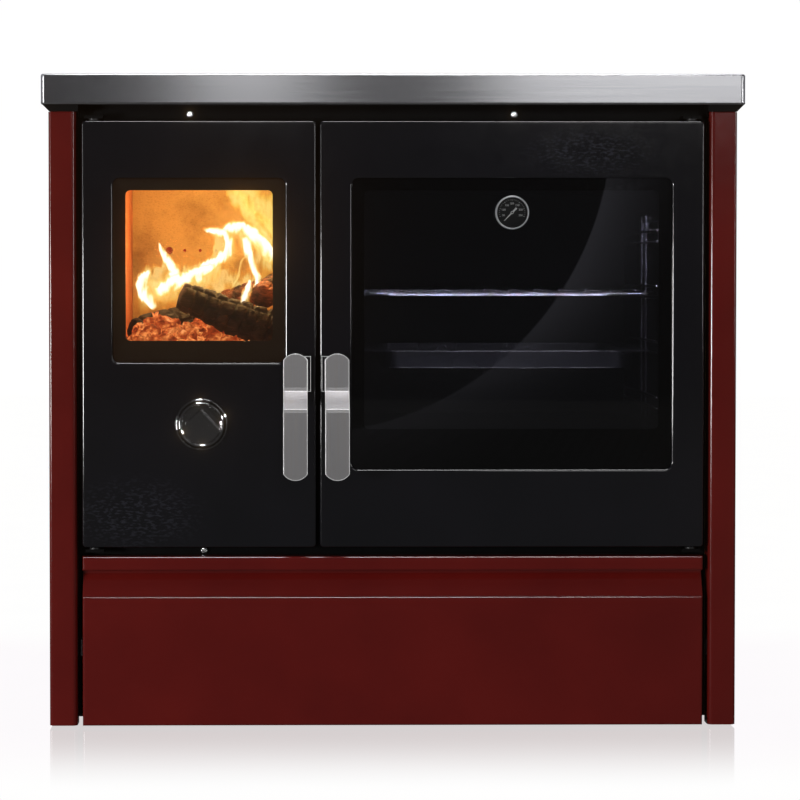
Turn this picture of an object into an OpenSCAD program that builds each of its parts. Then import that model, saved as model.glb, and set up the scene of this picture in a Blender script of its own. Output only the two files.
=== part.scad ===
// Wood-burning cook stove: fire on the left, oven on the right, wood drawer below.
// Millimetres. X runs to the right, Y to the back, Z up; the origin is on the floor under the middle.

/* [Overall size] */
// Width of the stainless hob frame, the widest part of the stove
hob_w = 912; // [900:1:960]
// Depth of the hob frame from front to back
hob_d = 600; // [590:5:660]
// Height of the cooking surface above the floor
hob_h = 850; // [840:5:900]

/* [Hob frame and cooking plate] */
// Height of the stainless band
band_h = 40; // [36:1:44]
// Width of the flat stainless rim round the cooking plate
rim_w = 58; // [54:1:66]
// Thickness of the stainless sheet
band_t = 1.5; // [1.2:0.1:2]
// Outer radius of the band's upright corners
band_corner_r = 6; // [5:0.5:9]
// Outer radius of the band's top and bottom folds
band_fold_r = 3; // [2.5:0.5:4]
// Width of the lip folded in under the band
band_lip = 13; // [11:1:16]
// Height of the black spacer frame under the band
spacer_h = 8.5; // [7:0.5:10]
// How far the spacer's outer edge slopes in from top to bottom
spacer_bevel = 8.5; // [6:0.5:12]
// How far the band stands out past the spacer
spacer_inset = 2.5; // [2:0.5:4]
// Thickness of the cast cooking plate
plate_t = 10; // [8:1:12]
// Expansion gap round the cooking plate
plate_gap = 1.5; // [1:0.5:2]
// How far the cooking plate lies on its bearer frame
plate_seat = 12; // [8:1:16]
// Thickness of the bearer frame
bearer_t = 4; // [3:0.5:5]
// Diameter of the loose ring in the cooking plate
ring_d = 220; // [180:5:240]
// Diameter of the lid inside the ring
lid_d = 130; // [110:5:150]
// Width of the ledges that the ring and the lid lie on
ledge_w = 6; // [4:1:8]
// Radial gap round the ring and the lid
ring_gap = 0.5; // [0.4:0.1:0.8]

/* [Body] */
// How far the band stands out past each side panel
over_side = 9; // [8:0.5:14]
// How far the band stands out past the side panels' fronts
over_front = 12; // [10:1:16]
// How far the band stands out past the back of the body
over_rear = 12; // [10:1:16]
// Width of each side panel's front face
panel_face_w = 36; // [32:1:42]
// Thickness of the enamelled sheet
panel_t = 1.5; // [1.2:0.1:2]
// Outer radius of the side panel's outer folds
panel_outer_r = 4; // [3:0.5:6]
// Outer radius of the side panel's inner front fold
panel_inner_r = 7; // [5:0.5:9]
// Width of the side panel's rear return
panel_rear_w = 22; // [16:1:30]
// Gap between the floor and the panels and drawer front
floor_gap = 3; // [3:0.5:6]
// Thickness of the carcass, duct and rear sheets
sheet_t = 2; // [1.5:0.25:2.5]
// Thickness of the front frame
frame_t = 4; // [3:0.5:5]
// Height of the underside of the base plate above the floor
base_z = 10; // [9:0.5:14]
// Diameter of each levelling foot
foot_d = 40; // [30:1:50]
// Diameter of the feet's threaded studs
foot_stud_d = 10; // [8:1:12]
// Height of the upper face of the feet's pads
foot_h = 6; // [5:0.5:8]
// Distance of the feet from the body's sides, front and back
foot_inset = 60; // [50:5:80]

/* [Doors] */
// Width of the fire door
fire_door_w = 304; // [300:1:320]
// Gap between each door and the side panel beside it
door_side_gap = 7; // [6:0.5:8]
// Gap between the two doors
door_mid_gap = 4.5; // [3.5:0.5:6]
// Gap between the band and the doors
door_top_gap = 20; // [18:1:24]
// Gap between the doors and the drawer front
door_low_gap = 12; // [10:0.5:14]
// How far the doors stand out past the side panels
door_proud = 4; // [3:0.5:5]
// Depth of the door pans
door_depth = 24; // [23:0.5:25]
// Gap between the door pans and the front frame
door_frame_gap = 8; // [7.5:0.5:9]
// Thickness of the door sheet
door_t = 2; // [1.5:0.25:2.5]
// Outer radius of the folds round the doors' fronts
door_fold_r = 3; // [2.5:0.5:4]
// Radius of the doors' corners seen from the front
door_corner_r = 5; // [4.5:0.5:8]
// Distance of each hinge axis from the door's outer edge
hinge_inset = 16; // [15.5:0.5:16.5]
// Distance of each hinge axis behind the door's front
hinge_back = 8; // [7.5:0.5:8.5]
// Diameter of the hinge pins
hinge_pin_d = 8; // [7:0.5:9]
// Radial clearance of the turning fits
turn_gap = 0.05; // [0.03:0.01:0.09]
// Gap left between pieces that are seated or slide on each other
seat_gap = 0.3; // [0.2:0.05:0.4]

/* [Windows] */
// Distance from the top of each door to its window recess
win_top = 74.5; // [70:0.5:90]
// Width of the door on each side of the fire window recess
fire_win_side = 40.5; // [40:0.5:44]
// Height of the fire window recess
fire_win_h = 239; // [220:1:245]
// Width of the door on each side of the oven window recess
oven_win_side = 42; // [39:0.5:46]
// Height of the oven window recess
oven_win_h = 378; // [365:1:390]
// Radius of the window recess corners
win_corner_r = 9; // [8:0.5:11]
// Outer radius of the fold round the window recess
win_fold_r = 3; // [2.5:0.5:4]
// Width of the black border at the sides of both windows
border_side = 16; // [12:0.5:18]
// Width of the black border at the top of both windows
border_top = 15.5; // [12:0.5:16]
// Width of the black border under the clear fire glass
fire_border_low = 28; // [24:0.5:34]
// Width of the black border under the clear oven glass
oven_border_low = 52; // [48:1:60]
// Radius of the clear glass corners
clear_r = 6.5; // [5:0.5:8]
// Depth of the outer glass behind the door's front
glass_back = 6; // [5.5:0.25:6.5]
// Thickness of the glass
glass_t = 4; // [3:0.5:4]
// How far the glass reaches behind the edge of the recess
glass_lap = 6; // [5:0.5:6.5]

/* [Handles and latches] */
// Distance of the fire handle's axis from the edge of its door
fire_handle_in = 27; // [26:0.5:28]
// Distance of the oven handle's axis from the edge of its door
oven_handle_in = 22.5; // [22:0.5:24]
// Distance of both handles' axes below the top of the doors
handle_drop = 320; // [310:1:330]
// Width of the handle strip
strip_w = 31; // [28:0.5:32]
// Thickness of the handle strip
strip_t = 4; // [3:0.5:5]
// Height of the strip's top above the axis
strip_up = 18.5; // [15:0.5:20]
// Distance from the axis down to the upper bend
strip_bend_up = 30.5; // [27:0.5:32]
// Distance from the axis down to the lower bend
strip_bend_low = 54.5; // [52:0.5:60]
// Distance from the axis down to the end of the grip
strip_down = 143.5; // [140:0.5:160]
// Distance from the door's front to the back of the strip's upper part
strip_off = 14; // [12:0.5:16]
// Distance from the door's front to the outer face of the grip
grip_off = 48; // [44:0.5:52]
// Radius of the rounded strip ends
strip_end_r = 18.6; // [17:0.2:22]
// How far the hub block shows beside the strip
hub_show = 4.4; // [3:0.2:5]
// Diameter of the handle spindles
spindle_d = 10; // [8:0.5:10]
// Distance from the spindle down to the latch stud
latch_r = 40; // [36:1:44]
// Width of the latch arm
latch_w = 10; // [8:0.5:10]
// Diameter of the latch stud's head
stud_head_d = 12; // [11:0.5:12]
// Gap between the latch arm and the stud's head when the handle hangs straight
latch_gap = 0.8; // [0.6:0.1:1]

/* [Air control] */
// Distance of the air knob below the top of the fire door
air_drop = 394; // [385:1:400]
// Distance of the air knob to the right of the fire door's middle
air_right = 3; // [0:0.5:6]
// Outer diameter of the rosette round the air knob
rosette_d = 68; // [66:1:76]
// Outer diameter of the air knob
knob_d = 59; // [54:1:60]
// Width of the raised rim of the air knob
knob_rim = 4; // [3:0.5:6]
// Height of the knob above the door's front
knob_h = 9; // [7:0.5:10]
// Diameter of each air hole behind the knob
air_hole_d = 12; // [8:0.5:14]

/* [Firebox] */
// Inside width of the brick lining
fire_w = 214; // [204:1:214]
// Inside depth from the front frame to the back brick
fire_d = 316; // [300:1:330]
// Thickness of the fire bricks
brick_t = 25; // [20:1:25]
// Height of the fire bricks above the hearth slab
brick_h = 290; // [282:1:292]
// Height of the log guard above the hearth slab
guard_h = 26; // [20:1:36]
// Thickness of the firebox casing
casing_t = 4; // [3:0.5:5]
// Distance from the bottom edge of the doors up to the ash compartment's floor
ash_floor = 20; // [19:0.5:24]
// Height of the ash compartment's opening
ash_open_h = 169; // [160:1:175]
// Height of the hearth slab's upper face above the bottom edge of the doors
hearth_up = 234; // [230:0.5:236]
// Thickness of the hearth slab
hearth_t = 30; // [25:1:32]
// Height of the fire opening
fire_open_h = 270; // [262:1:275]
// Width and depth of the grate
grate_w = 180; // [160:5:185]
// Height of the row of air holes above the hearth slab
air_row_up = 154; // [140:1:160]
// Diameter of the two outer air holes in the back brick
big_hole_d = 10.5; // [8:0.5:12]
// Diameter of the small air holes in the back brick
small_hole_d = 4.5; // [4:0.5:6]
// Distance between neighbouring air holes in the back brick
air_pitch = 22; // [18:1:24]

/* [Oven] */
// Gap between the clear glass and the oven's side walls
oven_side_room = 10; // [8:0.5:11]
// Height of the oven's roof above the top of the clear glass
oven_top_room = 6; // [5:0.5:8]
// Inside height of the oven
oven_h = 320; // [310:1:325]
// Inside depth of the oven from the back of the front frame
oven_d = 426; // [400:2:440]
// Radius of the oven's long corners
oven_r = 10; // [8:0.5:12]
// Diameter of the ladder wires
ladder_wire = 4; // [3.5:0.25:5]
// Distance between shelf levels
level_step = 73.5; // [72:0.5:76]
// Distance from the oven's roof to the first shelf level
level_top = 65; // [60:1:70]
// Distance between the two wires of a level
level_pair = 14.5; // [14:0.5:16]
// Diameter of the shelf's frame rod
shelf_rod = 6; // [5:0.5:6.5]
// Diameter of the shelf's cross wires
shelf_wire = 3; // [2.5:0.25:4]
// Distance between the shelf's cross wires
shelf_pitch = 33.5; // [24:0.5:40]
// Depth of the shelf and the tray from front to back
shelf_d = 372; // [350:2:380]
// Width of the baking tray's side flanges
tray_flange = 32; // [20:1:36]
// Depth of the baking tray's pan
tray_h = 22; // [16:1:40]
// Outer diameter of the thermometer
thermo_d = 44; // [40:1:50]
// Distance from the top of the oven window recess to the thermometer's middle
thermo_drop = 44.5; // [40:0.5:50]
// Height of the thermometer's case in front of the glass
thermo_h = 8; // [7:0.5:9]

/* [Smoke path] */
// Outer diameter of the flue spigot
flue_d = 150; // [120:5:150]
// Wall thickness of the flue spigot
flue_t = 2; // [1.5:0.25:3]
// How far the flue spigot stands out behind the hob frame
flue_out = 40; // [38:1:48]
// Distance of the flue's middle below the cooking surface
flue_drop = 150; // [145:1:170]
// Distance of the flue's middle inside the smoke duct's right side
flue_side_in = 107; // [102:1:152]
// Distance from the body's back to the duct's back wall
duct_back_in = 38; // [36:1:44]
// Distance from the carcass side to the duct's side wall
duct_side_in = 12; // [10:1:16]
// Distance from the oven's floor down to the duct's floor
duct_low = 83; // [80:1:88]

/* [Wood drawer] */
// Height of the drawer front's upper edge above the floor
drawer_top = 224; // [220:1:230]
// Height of the top strip of the drawer front
strip_h = 18.5; // [16:0.5:22]
// Height of the finger channel
channel_h = 34; // [30:1:38]
// Depth of the finger channel
channel_d = 18; // [14:0.5:18.5]
// Depth of the drawer front
drawer_front_d = 22; // [21:0.5:23]
// How far the drawer front stands out past the side panels
drawer_proud = 2; // [1:0.5:3]
// Outer radius of the drawer front's folds
drawer_fold_r = 3; // [2:0.5:4]
// Gap between the drawer front and each side panel
drawer_side_gap = 7; // [5:0.5:8]
// Height of the drawer box's underside above the floor
box_z = 24; // [20:1:30]
// Height of the drawer box's walls
box_h = 165; // [140:1:175]
// Depth of the drawer box from front to back
box_d = 500; // [460:5:505]
// Width of the runner space on each side of the drawer box
runner_w = 16; // [14:0.5:18]
// Height of the moving rail on the drawer box
rail_h = 16; // [12:1:20]
// Height of the runners' middle above the floor
rail_z = 100; // [80:1:120]

/* [Hidden] */

// Colours
red_enamel = [0.36, 0.09, 0.09];
black_enamel = [0.08, 0.08, 0.09];
dark_steel = [0.2, 0.2, 0.21];
stainless = [0.74, 0.74, 0.76];
cast_iron = [0.16, 0.16, 0.17];
brick = [0.82, 0.6, 0.38];
clear_glass = [0.6, 0.7, 0.75];
zinc = [0.62, 0.64, 0.66];
rope_grey = [0.35, 0.34, 0.32];
wool = [0.75, 0.72, 0.62];

// Body planes
body_x = hob_w / 2 - over_side;
front_y = -hob_d / 2 + over_front;
rear_y = hob_d / 2 - over_rear;
panel_in_x = body_x - panel_face_w;
spacer_top_z = hob_h - band_h;
panel_top_z = spacer_top_z - spacer_h;
plate_z = hob_h - plate_t;
bearer_z = plate_z - bearer_t;
ring_y = -75;
carcass_x = panel_in_x;
carcass_in_x = carcass_x - sheet_t;
base_top_z = base_z + sheet_t;
panel_back_y = rear_y - panel_t;
back_bolt_in = 25;
back_bolt_x = body_x - back_bolt_in - 5;
foot_x = body_x - foot_inset;
foot_spots = [for (x = [-foot_x, foot_x], y = [front_y + foot_inset, rear_y - foot_inset]) [x, y]];

// Door planes
door_front_y = front_y - door_proud;
door_back_y = door_front_y + door_depth;
frame_y = door_back_y + door_frame_gap;
frame_back_y = frame_y + frame_t;
door_top_z = spacer_top_z - door_top_gap;
door_low_z = drawer_top + door_low_gap;
door_h = door_top_z - door_low_z;
door_mid_z = (door_top_z + door_low_z) / 2;
door_x = panel_in_x - door_side_gap;
oven_door_w = 2 * door_x - fire_door_w - door_mid_gap;
fire_x = -door_x + fire_door_w / 2;
oven_x = door_x - oven_door_w / 2;
hinge_x = door_x - hinge_inset;
hinge_y = door_front_y + hinge_back;
bracket_t = 4;
bracket_gap = 2.5;

// Window sizes and heights
win_top_z = door_top_z - win_top;
fire_win_w = fire_door_w - 2 * fire_win_side;
oven_win_w = oven_door_w - 2 * oven_win_side;
fire_win_z = win_top_z - fire_win_h / 2;
oven_win_z = win_top_z - oven_win_h / 2;
clear_top_z = win_top_z - border_top;
fire_clear_w = fire_win_w - 2 * border_side;
fire_clear_h = fire_win_h - border_top - fire_border_low;
fire_clear_z = clear_top_z - fire_clear_h / 2;
oven_clear_w = oven_win_w - 2 * border_side;
oven_clear_h = oven_win_h - border_top - oven_border_low;
oven_clear_z = clear_top_z - oven_clear_h / 2;
glass_y = door_front_y + glass_back;
border_y = glass_y + glass_t;
border_t = 1.5;

// Handles and latches
handle_z = door_top_z - handle_drop;
fire_handle_x = -door_x + fire_door_w - fire_handle_in;
oven_handle_x = door_x - oven_door_w + oven_handle_in;
stud_reach = latch_w / 2 + latch_gap + stud_head_d / 2;
fire_stud_x = fire_handle_x + stud_reach;
oven_stud_x = oven_handle_x - stud_reach;
stud_z = handle_z - latch_r;
inner_glass_y = door_back_y - sheet_t - seat_gap - glass_t;
arm_t = 4;
arm_y = inner_glass_y - arm_t - 0.7;
stud_head_t = 3;
stud_head_y = arm_y - stud_head_t - 1;
spindle_bush_d = spindle_d + 4;
spindle_bush_l = arm_y - door_front_y - door_t - 3;

// Air control
air_x = fire_x + air_right;
air_z = door_top_z - air_drop;
air_lift = 2;
air_circle_r = knob_d / 2 - knob_rim - air_hole_d / 2 - 2;
knob_spindle_d = 8;
shutter_t = 2;

// Firebox
fire_back_y = frame_back_y + fire_d;
casing_w = fire_w + 2 * brick_t;
casing_back_y = fire_back_y + brick_t;
casing_right_x = fire_x + casing_w / 2 + casing_t;
ash_z = door_low_z + ash_floor;
hearth_z = door_low_z + hearth_up;
fire_open_z = hearth_z + fire_open_h / 2;
grate_y = frame_back_y + fire_d / 2;
brick_top_z = hearth_z + brick_h;
duct_mouth_z = brick_top_z + 10;
seal_off = 2;
seal_w = 7;
ash_pan_w = fire_w - 14;
ash_pan_h = 70;
ash_pan_d = 250;
ash_pan_back = 15;

// Oven
oven_w = oven_clear_w + 2 * oven_side_room;
oven_top_z = clear_top_z + oven_top_room;
oven_low_z = oven_top_z - oven_h;
oven_mid_z = oven_top_z - oven_h / 2;
oven_back_y = frame_back_y + oven_d;
level_z = [for (i = [0:3]) oven_top_z - level_top - i * level_step];
ladder_front_y = frame_back_y + 12;
ladder_l = oven_d - 38;
rail_mid_x = oven_w / 2 - seat_gap - ladder_wire * 1.45;
shelf_half = oven_w / 2 - seat_gap - ladder_wire - 0.7;
shelf_front_y = frame_back_y + 18;
rest_z = -level_pair / 2 + ladder_wire / 2 + seat_gap;
thermo_z = win_top_z - thermo_drop;
needle_y = glass_y - thermo_h + 3.6;
needle_angle = 226;
stem_d = 6;
stem_gap = 0.5;

// Smoke path
duct_back_y = rear_y - duct_back_in;
duct_x = carcass_in_x - duct_side_in;
duct_z = oven_low_z - duct_low;
flue_x = duct_x - flue_side_in;
flue_z = hob_h - flue_drop;
flue_end_y = hob_d / 2 + flue_out;
hatch_w = 150;
hatch_h = 50;
hatch_z = duct_z + 40;

// Drawer
drawer_x = panel_in_x - drawer_side_gap;
drawer_front_y = front_y - drawer_proud;
drawer_back_y = drawer_front_y + drawer_front_d;
box_x = carcass_in_x - runner_w;
rail_depth = runner_w - sheet_t - 0.5;
runner_l = 480;
runner_y = drawer_back_y + 14;

// Points of an arc, for outlines with rounded corners
function arc(cx, cy, r, a0, a1, n = 6) =
    [for (i = [0:n]) [cx + r * cos(a0 + (a1 - a0) * i / n), cy + r * sin(a0 + (a1 - a0) * i / n)]];

// Rounded rectangle centred on the origin
module rounded_rect(w, h, r) {
    square([w - 2 * r, h], center = true);
    square([w, h - 2 * r], center = true);
    for (x = [-1, 1], y = [-1, 1])
        translate([x * (w / 2 - r), y * (h / 2 - r)]) circle(r = r, $fn = 48);
}

// Quarter ring of sheet metal in the quadrant given by turn, 0 to 3 from +x +y
module bend(r, t, turn) {
    rotate(90 * turn) intersection() {
        difference() {
            circle(r = r, $fn = 48);
            circle(r = r - t, $fn = 48);
        }
        square(r);
    }
}

// Sweeps a section round a rounded rectangle in the XY plane.
// The section's x is measured outwards from the rectangle, its y becomes z.
module sweep_rect(w, h, r) {
    for (side = [0, 1]) rotate(180 * side) {
        translate([w / 2, -h / 2 + r, 0]) rotate([90, 0, 180]) mirror([1, 0, 0])
            linear_extrude(height = h - 2 * r) children();
        rotate(90) translate([h / 2, -w / 2 + r, 0]) rotate([90, 0, 180]) mirror([1, 0, 0])
            linear_extrude(height = w - 2 * r) children();
        for (corner = [0, 1])
            translate([corner == 0 ? w / 2 - r : -w / 2 + r, h / 2 - r, 0]) rotate(90 * corner)
                rotate_extrude(angle = 90, $fn = 64) translate([r, 0]) children();
    }
}

// Puts children drawn in XY onto a plane that faces the front: their y becomes z, their z points out
module on_front(x, y, z) {
    translate([x, y, z]) rotate([90, 0, 0]) children();
}

// Flat plate that faces the front, its front face at y, with children's outline
module front_plate(x, y, z, t) {
    on_front(x, y + t, z) linear_extrude(height = t) children();
}

// Round bar along Y from y0 to y1
module bar_y(x, z, r, y0, y1) {
    translate([x, y1, z]) rotate([90, 0, 0]) cylinder(r = r, h = y1 - y0, $fn = 64);
}

// Round bar along Z from z0 to z1
module bar_z(x, y, r, z0, z1) {
    translate([x, y, z0]) cylinder(r = r, h = z1 - z0, $fn = 64);
}

// Block given by its low and high corners
module block(low, high) {
    translate(low) cube(high - low);
}

module levelling_feet() {
    color(dark_steel)
        for (p = foot_spots) translate([p[0], p[1], 0]) {
            cylinder(d = foot_d, h = foot_h, $fn = 64);
            translate([0, 0, foot_h]) cylinder(d = foot_stud_d, h = base_z - foot_h, $fn = 48);
            translate([0, 0, base_z]) cylinder(d = foot_stud_d - 0.6, h = sheet_t + 6, $fn = 48);
            translate([0, 0, base_top_z]) cylinder(d = foot_stud_d * 1.8, h = 5, $fn = 6);
        }
}

module base_plate() {
    side_x = body_x - panel_t - seat_gap;
    color(dark_steel) difference() {
        block([-side_x, frame_back_y, base_z], [side_x, panel_back_y - sheet_t, base_top_z]);
        for (p = foot_spots)
            translate([p[0], p[1], base_z - 1]) cylinder(d = foot_stud_d, h = sheet_t + 2, $fn = 48);
    }
}

module carcass_sides() {
    color(black_enamel) for (s = [0, 1]) mirror([s, 0, 0])
        block([carcass_in_x, frame_back_y, base_top_z], [carcass_x, panel_back_y - sheet_t, bearer_z]);
}

module front_frame() {
    mid_z = (bearer_z + drawer_top) / 2;
    color(black_enamel) front_plate(0, frame_y, 0, frame_t) difference() {
        translate([0, mid_z]) square([2 * carcass_x - 4, bearer_z - drawer_top], center = true);
        translate([fire_x, fire_open_z]) rounded_rect(fire_w, fire_open_h, 8);
        translate([fire_x, ash_z + ash_open_h / 2]) rounded_rect(fire_w, ash_open_h, 4);
        translate([oven_x, oven_mid_z]) rounded_rect(oven_w, oven_h, oven_r);
        translate([oven_x, hatch_z]) square([hatch_w - 20, hatch_h - 16], center = true);
    }
}

module drawer_ceiling() {
    color(dark_steel)
        block([-carcass_in_x, frame_back_y, drawer_top],
            [carcass_in_x, panel_back_y - sheet_t, drawer_top + sheet_t]);
}

module rear_panel() {
    side_x = body_x - panel_outer_r - seat_gap;
    low_z = base_z;
    high_z = panel_top_z;
    slot_l = 90;
    color(dark_steel) front_plate(0, panel_back_y - sheet_t, 0, sheet_t) difference() {
        translate([-side_x, low_z]) square([2 * side_x, high_z - low_z]);
        translate([flue_x, flue_z]) circle(d = flue_d + 8, $fn = 96);
        for (i = [-2:2], row = [0:4])
            translate([i * 130 - slot_l / 2, low_z + 60 + row * 22]) square([slot_l, 8]);
        for (i = [0:3], row = [0:4])
            translate([-side_x + 60 + i * 120, high_z - 160 + row * 22]) square([slot_l, 8]);
    }
}

// Plan outline of the right side panel, one folded sheet
module panel_outline() {
    translate([body_x - panel_outer_r, front_y + panel_outer_r]) bend(panel_outer_r, panel_t, 3);
    translate([body_x - panel_t, front_y + panel_outer_r])
        square([panel_t, rear_y - front_y - 2 * panel_outer_r]);
    translate([body_x - panel_outer_r, rear_y - panel_outer_r]) bend(panel_outer_r, panel_t, 0);
    translate([body_x - panel_rear_w, rear_y - panel_t]) square([panel_rear_w - panel_outer_r, panel_t]);
    translate([panel_in_x + panel_inner_r, front_y])
        square([panel_face_w - panel_inner_r - panel_outer_r, panel_t]);
    translate([panel_in_x + panel_inner_r, front_y + panel_inner_r]) bend(panel_inner_r, panel_t, 2);
    translate([panel_in_x, front_y + panel_inner_r]) square([panel_t, frame_y - front_y - panel_inner_r]);
}

// Right side panel with its two outer front corners rounded
module side_panel() {
    r = panel_outer_r;
    difference() {
        translate([0, 0, floor_gap]) linear_extrude(height = panel_top_z - floor_gap) panel_outline();
        for (low = [0, 1])
            front_plate(body_x - r, front_y - 1, low == 1 ? floor_gap + r : panel_top_z - r, r + 1)
                mirror([0, low]) difference() {
                    square(r + 1);
                    circle(r = r, $fn = 48);
                }
    }
}

module left_side_panel() {
    color(red_enamel) mirror([1, 0, 0]) side_panel();
}

module right_side_panel() {
    color(red_enamel) side_panel();
}

module side_insulation() {
    color(wool) for (s = [0, 1]) mirror([s, 0, 0])
        block([carcass_x + seat_gap, frame_back_y, base_top_z + seat_gap],
            [body_x - panel_t - seat_gap, panel_back_y - sheet_t - seat_gap, panel_top_z - seat_gap]);
}

module under_top_frame() {
    top_x = hob_w / 2 - spacer_inset;
    low_x = top_x - spacer_bevel;
    in_x = carcass_x + seat_gap - 3.5;
    end_y = hob_d / 2 - spacer_inset;
    tab_z = panel_top_z - 6;
    color(black_enamel) {
        for (s = [0, 1]) mirror([s, 0, 0]) {
            difference() {
                on_front(0, end_y, 0) linear_extrude(height = 2 * end_y)
                    polygon([[in_x, panel_top_z], [low_x, panel_top_z],
                        [top_x, spacer_top_z], [in_x, spacer_top_z]]);
                block([in_x - 1, frame_y - seat_gap, panel_top_z - 1],
                    [carcass_x + seat_gap, end_y + 1, spacer_top_z + 1]);
            }
            block([in_x, front_y + panel_inner_r + 1, tab_z], [in_x + 1.5, frame_y - seat_gap, panel_top_z]);
        }
        block([-low_x, panel_back_y + seat_gap, panel_top_z], [low_x, end_y, spacer_top_z]);
    }
}

// Section of the stainless band: two folds and the upright between them
module band_section() {
    translate([-band_fold_r, -band_fold_r]) bend(band_fold_r, band_t, 0);
    translate([-band_t, -band_h + band_fold_r]) square([band_t, band_h - 2 * band_fold_r]);
    translate([-band_fold_r, -band_h + band_fold_r]) bend(band_fold_r, band_t, 3);
}

module hob_frame() {
    flat_w = hob_w - 2 * band_fold_r;
    flat_d = hob_d - 2 * band_fold_r;
    flat_r = band_corner_r - band_fold_r;
    open_w = hob_w - 2 * rim_w;
    open_d = hob_d - 2 * rim_w;
    open_r = 6;
    color(stainless) {
        translate([0, 0, hob_h]) sweep_rect(hob_w, hob_d, band_corner_r) band_section();
        translate([0, 0, hob_h - band_t]) linear_extrude(height = band_t) difference() {
            rounded_rect(flat_w, flat_d, flat_r);
            rounded_rect(open_w, open_d, open_r);
        }
        translate([0, 0, spacer_top_z]) linear_extrude(height = band_t) difference() {
            rounded_rect(flat_w, flat_d, flat_r);
            square([hob_w - 2 * band_lip, hob_d - 2 * band_lip], center = true);
        }
        translate([0, 0, plate_z + seat_gap])
            linear_extrude(height = plate_t - seat_gap - band_t) difference() {
                rounded_rect(open_w + 2 * band_t, open_d + 2 * band_t, open_r + band_t);
                rounded_rect(open_w, open_d, open_r);
            }
    }
}

module plate_bearer() {
    out_y = duct_back_y + sheet_t + 6;
    in_w = hob_w - 2 * rim_w - 2 * plate_gap - 2 * plate_seat;
    in_d = hob_d - 2 * rim_w - 2 * plate_gap - 2 * plate_seat;
    color(dark_steel) difference() {
        block([-carcass_x, frame_y, bearer_z], [carcass_x, out_y, plate_z]);
        block([-in_w / 2, -in_d / 2, bearer_z - 1], [in_w / 2, in_d / 2, plate_z + 1]);
    }
}

// Space that a stepped disc leaves in the plate round it: radius at the top, ledge, depth
module stepped_hole(d) {
    half = plate_t / 2;
    translate([0, 0, half]) cylinder(d = d, h = half + 1, $fn = 96);
    translate([0, 0, -1]) cylinder(d = d - 2 * ledge_w, h = plate_t + 1, $fn = 96);
}

// Stepped disc that fills such a hole, seated just above its ledge
module stepped_disc(d) {
    half = plate_t / 2;
    translate([0, 0, half + seat_gap]) cylinder(d = d - 2 * ring_gap, h = half - seat_gap, $fn = 96);
    translate([0, 0, 1]) cylinder(d = d - 2 * ledge_w - 2 * ring_gap, h = plate_t - 1, $fn = 96);
}

module cooking_plate() {
    w = hob_w - 2 * rim_w - 2 * plate_gap;
    d = hob_d - 2 * rim_w - 2 * plate_gap;
    color(cast_iron) difference() {
        translate([0, 0, plate_z]) linear_extrude(height = plate_t) rounded_rect(w, d, 4.5);
        translate([fire_x, ring_y, plate_z]) stepped_hole(ring_d);
    }
}

module hob_ring() {
    color(cast_iron) translate([fire_x, ring_y, plate_z]) difference() {
        stepped_disc(ring_d);
        stepped_hole(lid_d);
    }
}

module hob_lid() {
    slot_w = 8;
    slot_l = 18;
    color(cast_iron) translate([fire_x, ring_y, plate_z]) difference() {
        stepped_disc(lid_d);
        translate([0, -lid_d / 4, plate_t - 4]) linear_extrude(height = 5) rounded_rect(slot_l, slot_w, 3.9);
    }
}

module firebox_casing() {
    left_x = fire_x - casing_w / 2 - casing_t;
    right_x = casing_right_x;
    back_y = casing_back_y + casing_t;
    shelf_z = hearth_z - hearth_t;
    color(dark_steel) difference() {
        block([left_x, frame_back_y, ash_z - casing_t], [right_x, back_y, bearer_z]);
        block([left_x + casing_t, frame_back_y - 1, ash_z],
            [right_x - casing_t, casing_back_y, shelf_z - casing_t]);
        block([left_x + casing_t + 14, frame_back_y - 1, shelf_z - casing_t - 1],
            [right_x - casing_t - 14, casing_back_y - 14, shelf_z + 1]);
        block([left_x + casing_t, frame_back_y - 1, shelf_z],
            [right_x - casing_t, casing_back_y, bearer_z + 1]);
        block([right_x - casing_t - 1, frame_back_y + 20, duct_mouth_z],
            [right_x + 1, fire_back_y - 20, bearer_z - 12]);
        air_holes(casing_back_y - 1, back_y + 1);
    }
}

// The row of air holes through the back brick and the casing behind it
module air_holes(y0, y1) {
    row_z = hearth_z + air_row_up;
    for (i = [0:5]) {
        d = i == 0 || i == 5 ? big_hole_d : small_hole_d;
        bar_y(fire_x + (i - 2.5) * air_pitch, row_z, d / 2, y0, y1);
    }
}

// A side brick: its face towards the fire at x, its thickness going outwards by side
module side_brick(side) {
    face_x = fire_x + side * fire_w / 2;
    back_x = fire_x + side * (casing_w / 2 - seat_gap);
    block([min(face_x, back_x), frame_back_y + seat_gap, hearth_z],
        [max(face_x, back_x), fire_back_y - seat_gap, brick_top_z]);
}

module left_firebrick() {
    color(brick) side_brick(-1);
}

module right_firebrick() {
    color(brick) side_brick(1);
}

module back_firebrick() {
    half = casing_w / 2 - seat_gap;
    color(brick) difference() {
        block([fire_x - half, fire_back_y, hearth_z], [fire_x + half, casing_back_y - seat_gap, brick_top_z]);
        air_holes(fire_back_y - 1, casing_back_y + 1);
    }
}

module hearth_slab() {
    half = casing_w / 2 - seat_gap;
    open = grate_w / 2;
    color(brick) difference() {
        block([fire_x - half, frame_back_y + seat_gap, hearth_z - hearth_t],
            [fire_x + half, casing_back_y - seat_gap, hearth_z]);
        block([fire_x - open, grate_y - open, hearth_z - 18], [fire_x + open, grate_y + open, hearth_z + 1]);
        block([fire_x - open + 8, grate_y - open + 8, hearth_z - hearth_t - 1],
            [fire_x + open - 8, grate_y + open - 8, hearth_z]);
    }
}

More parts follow.
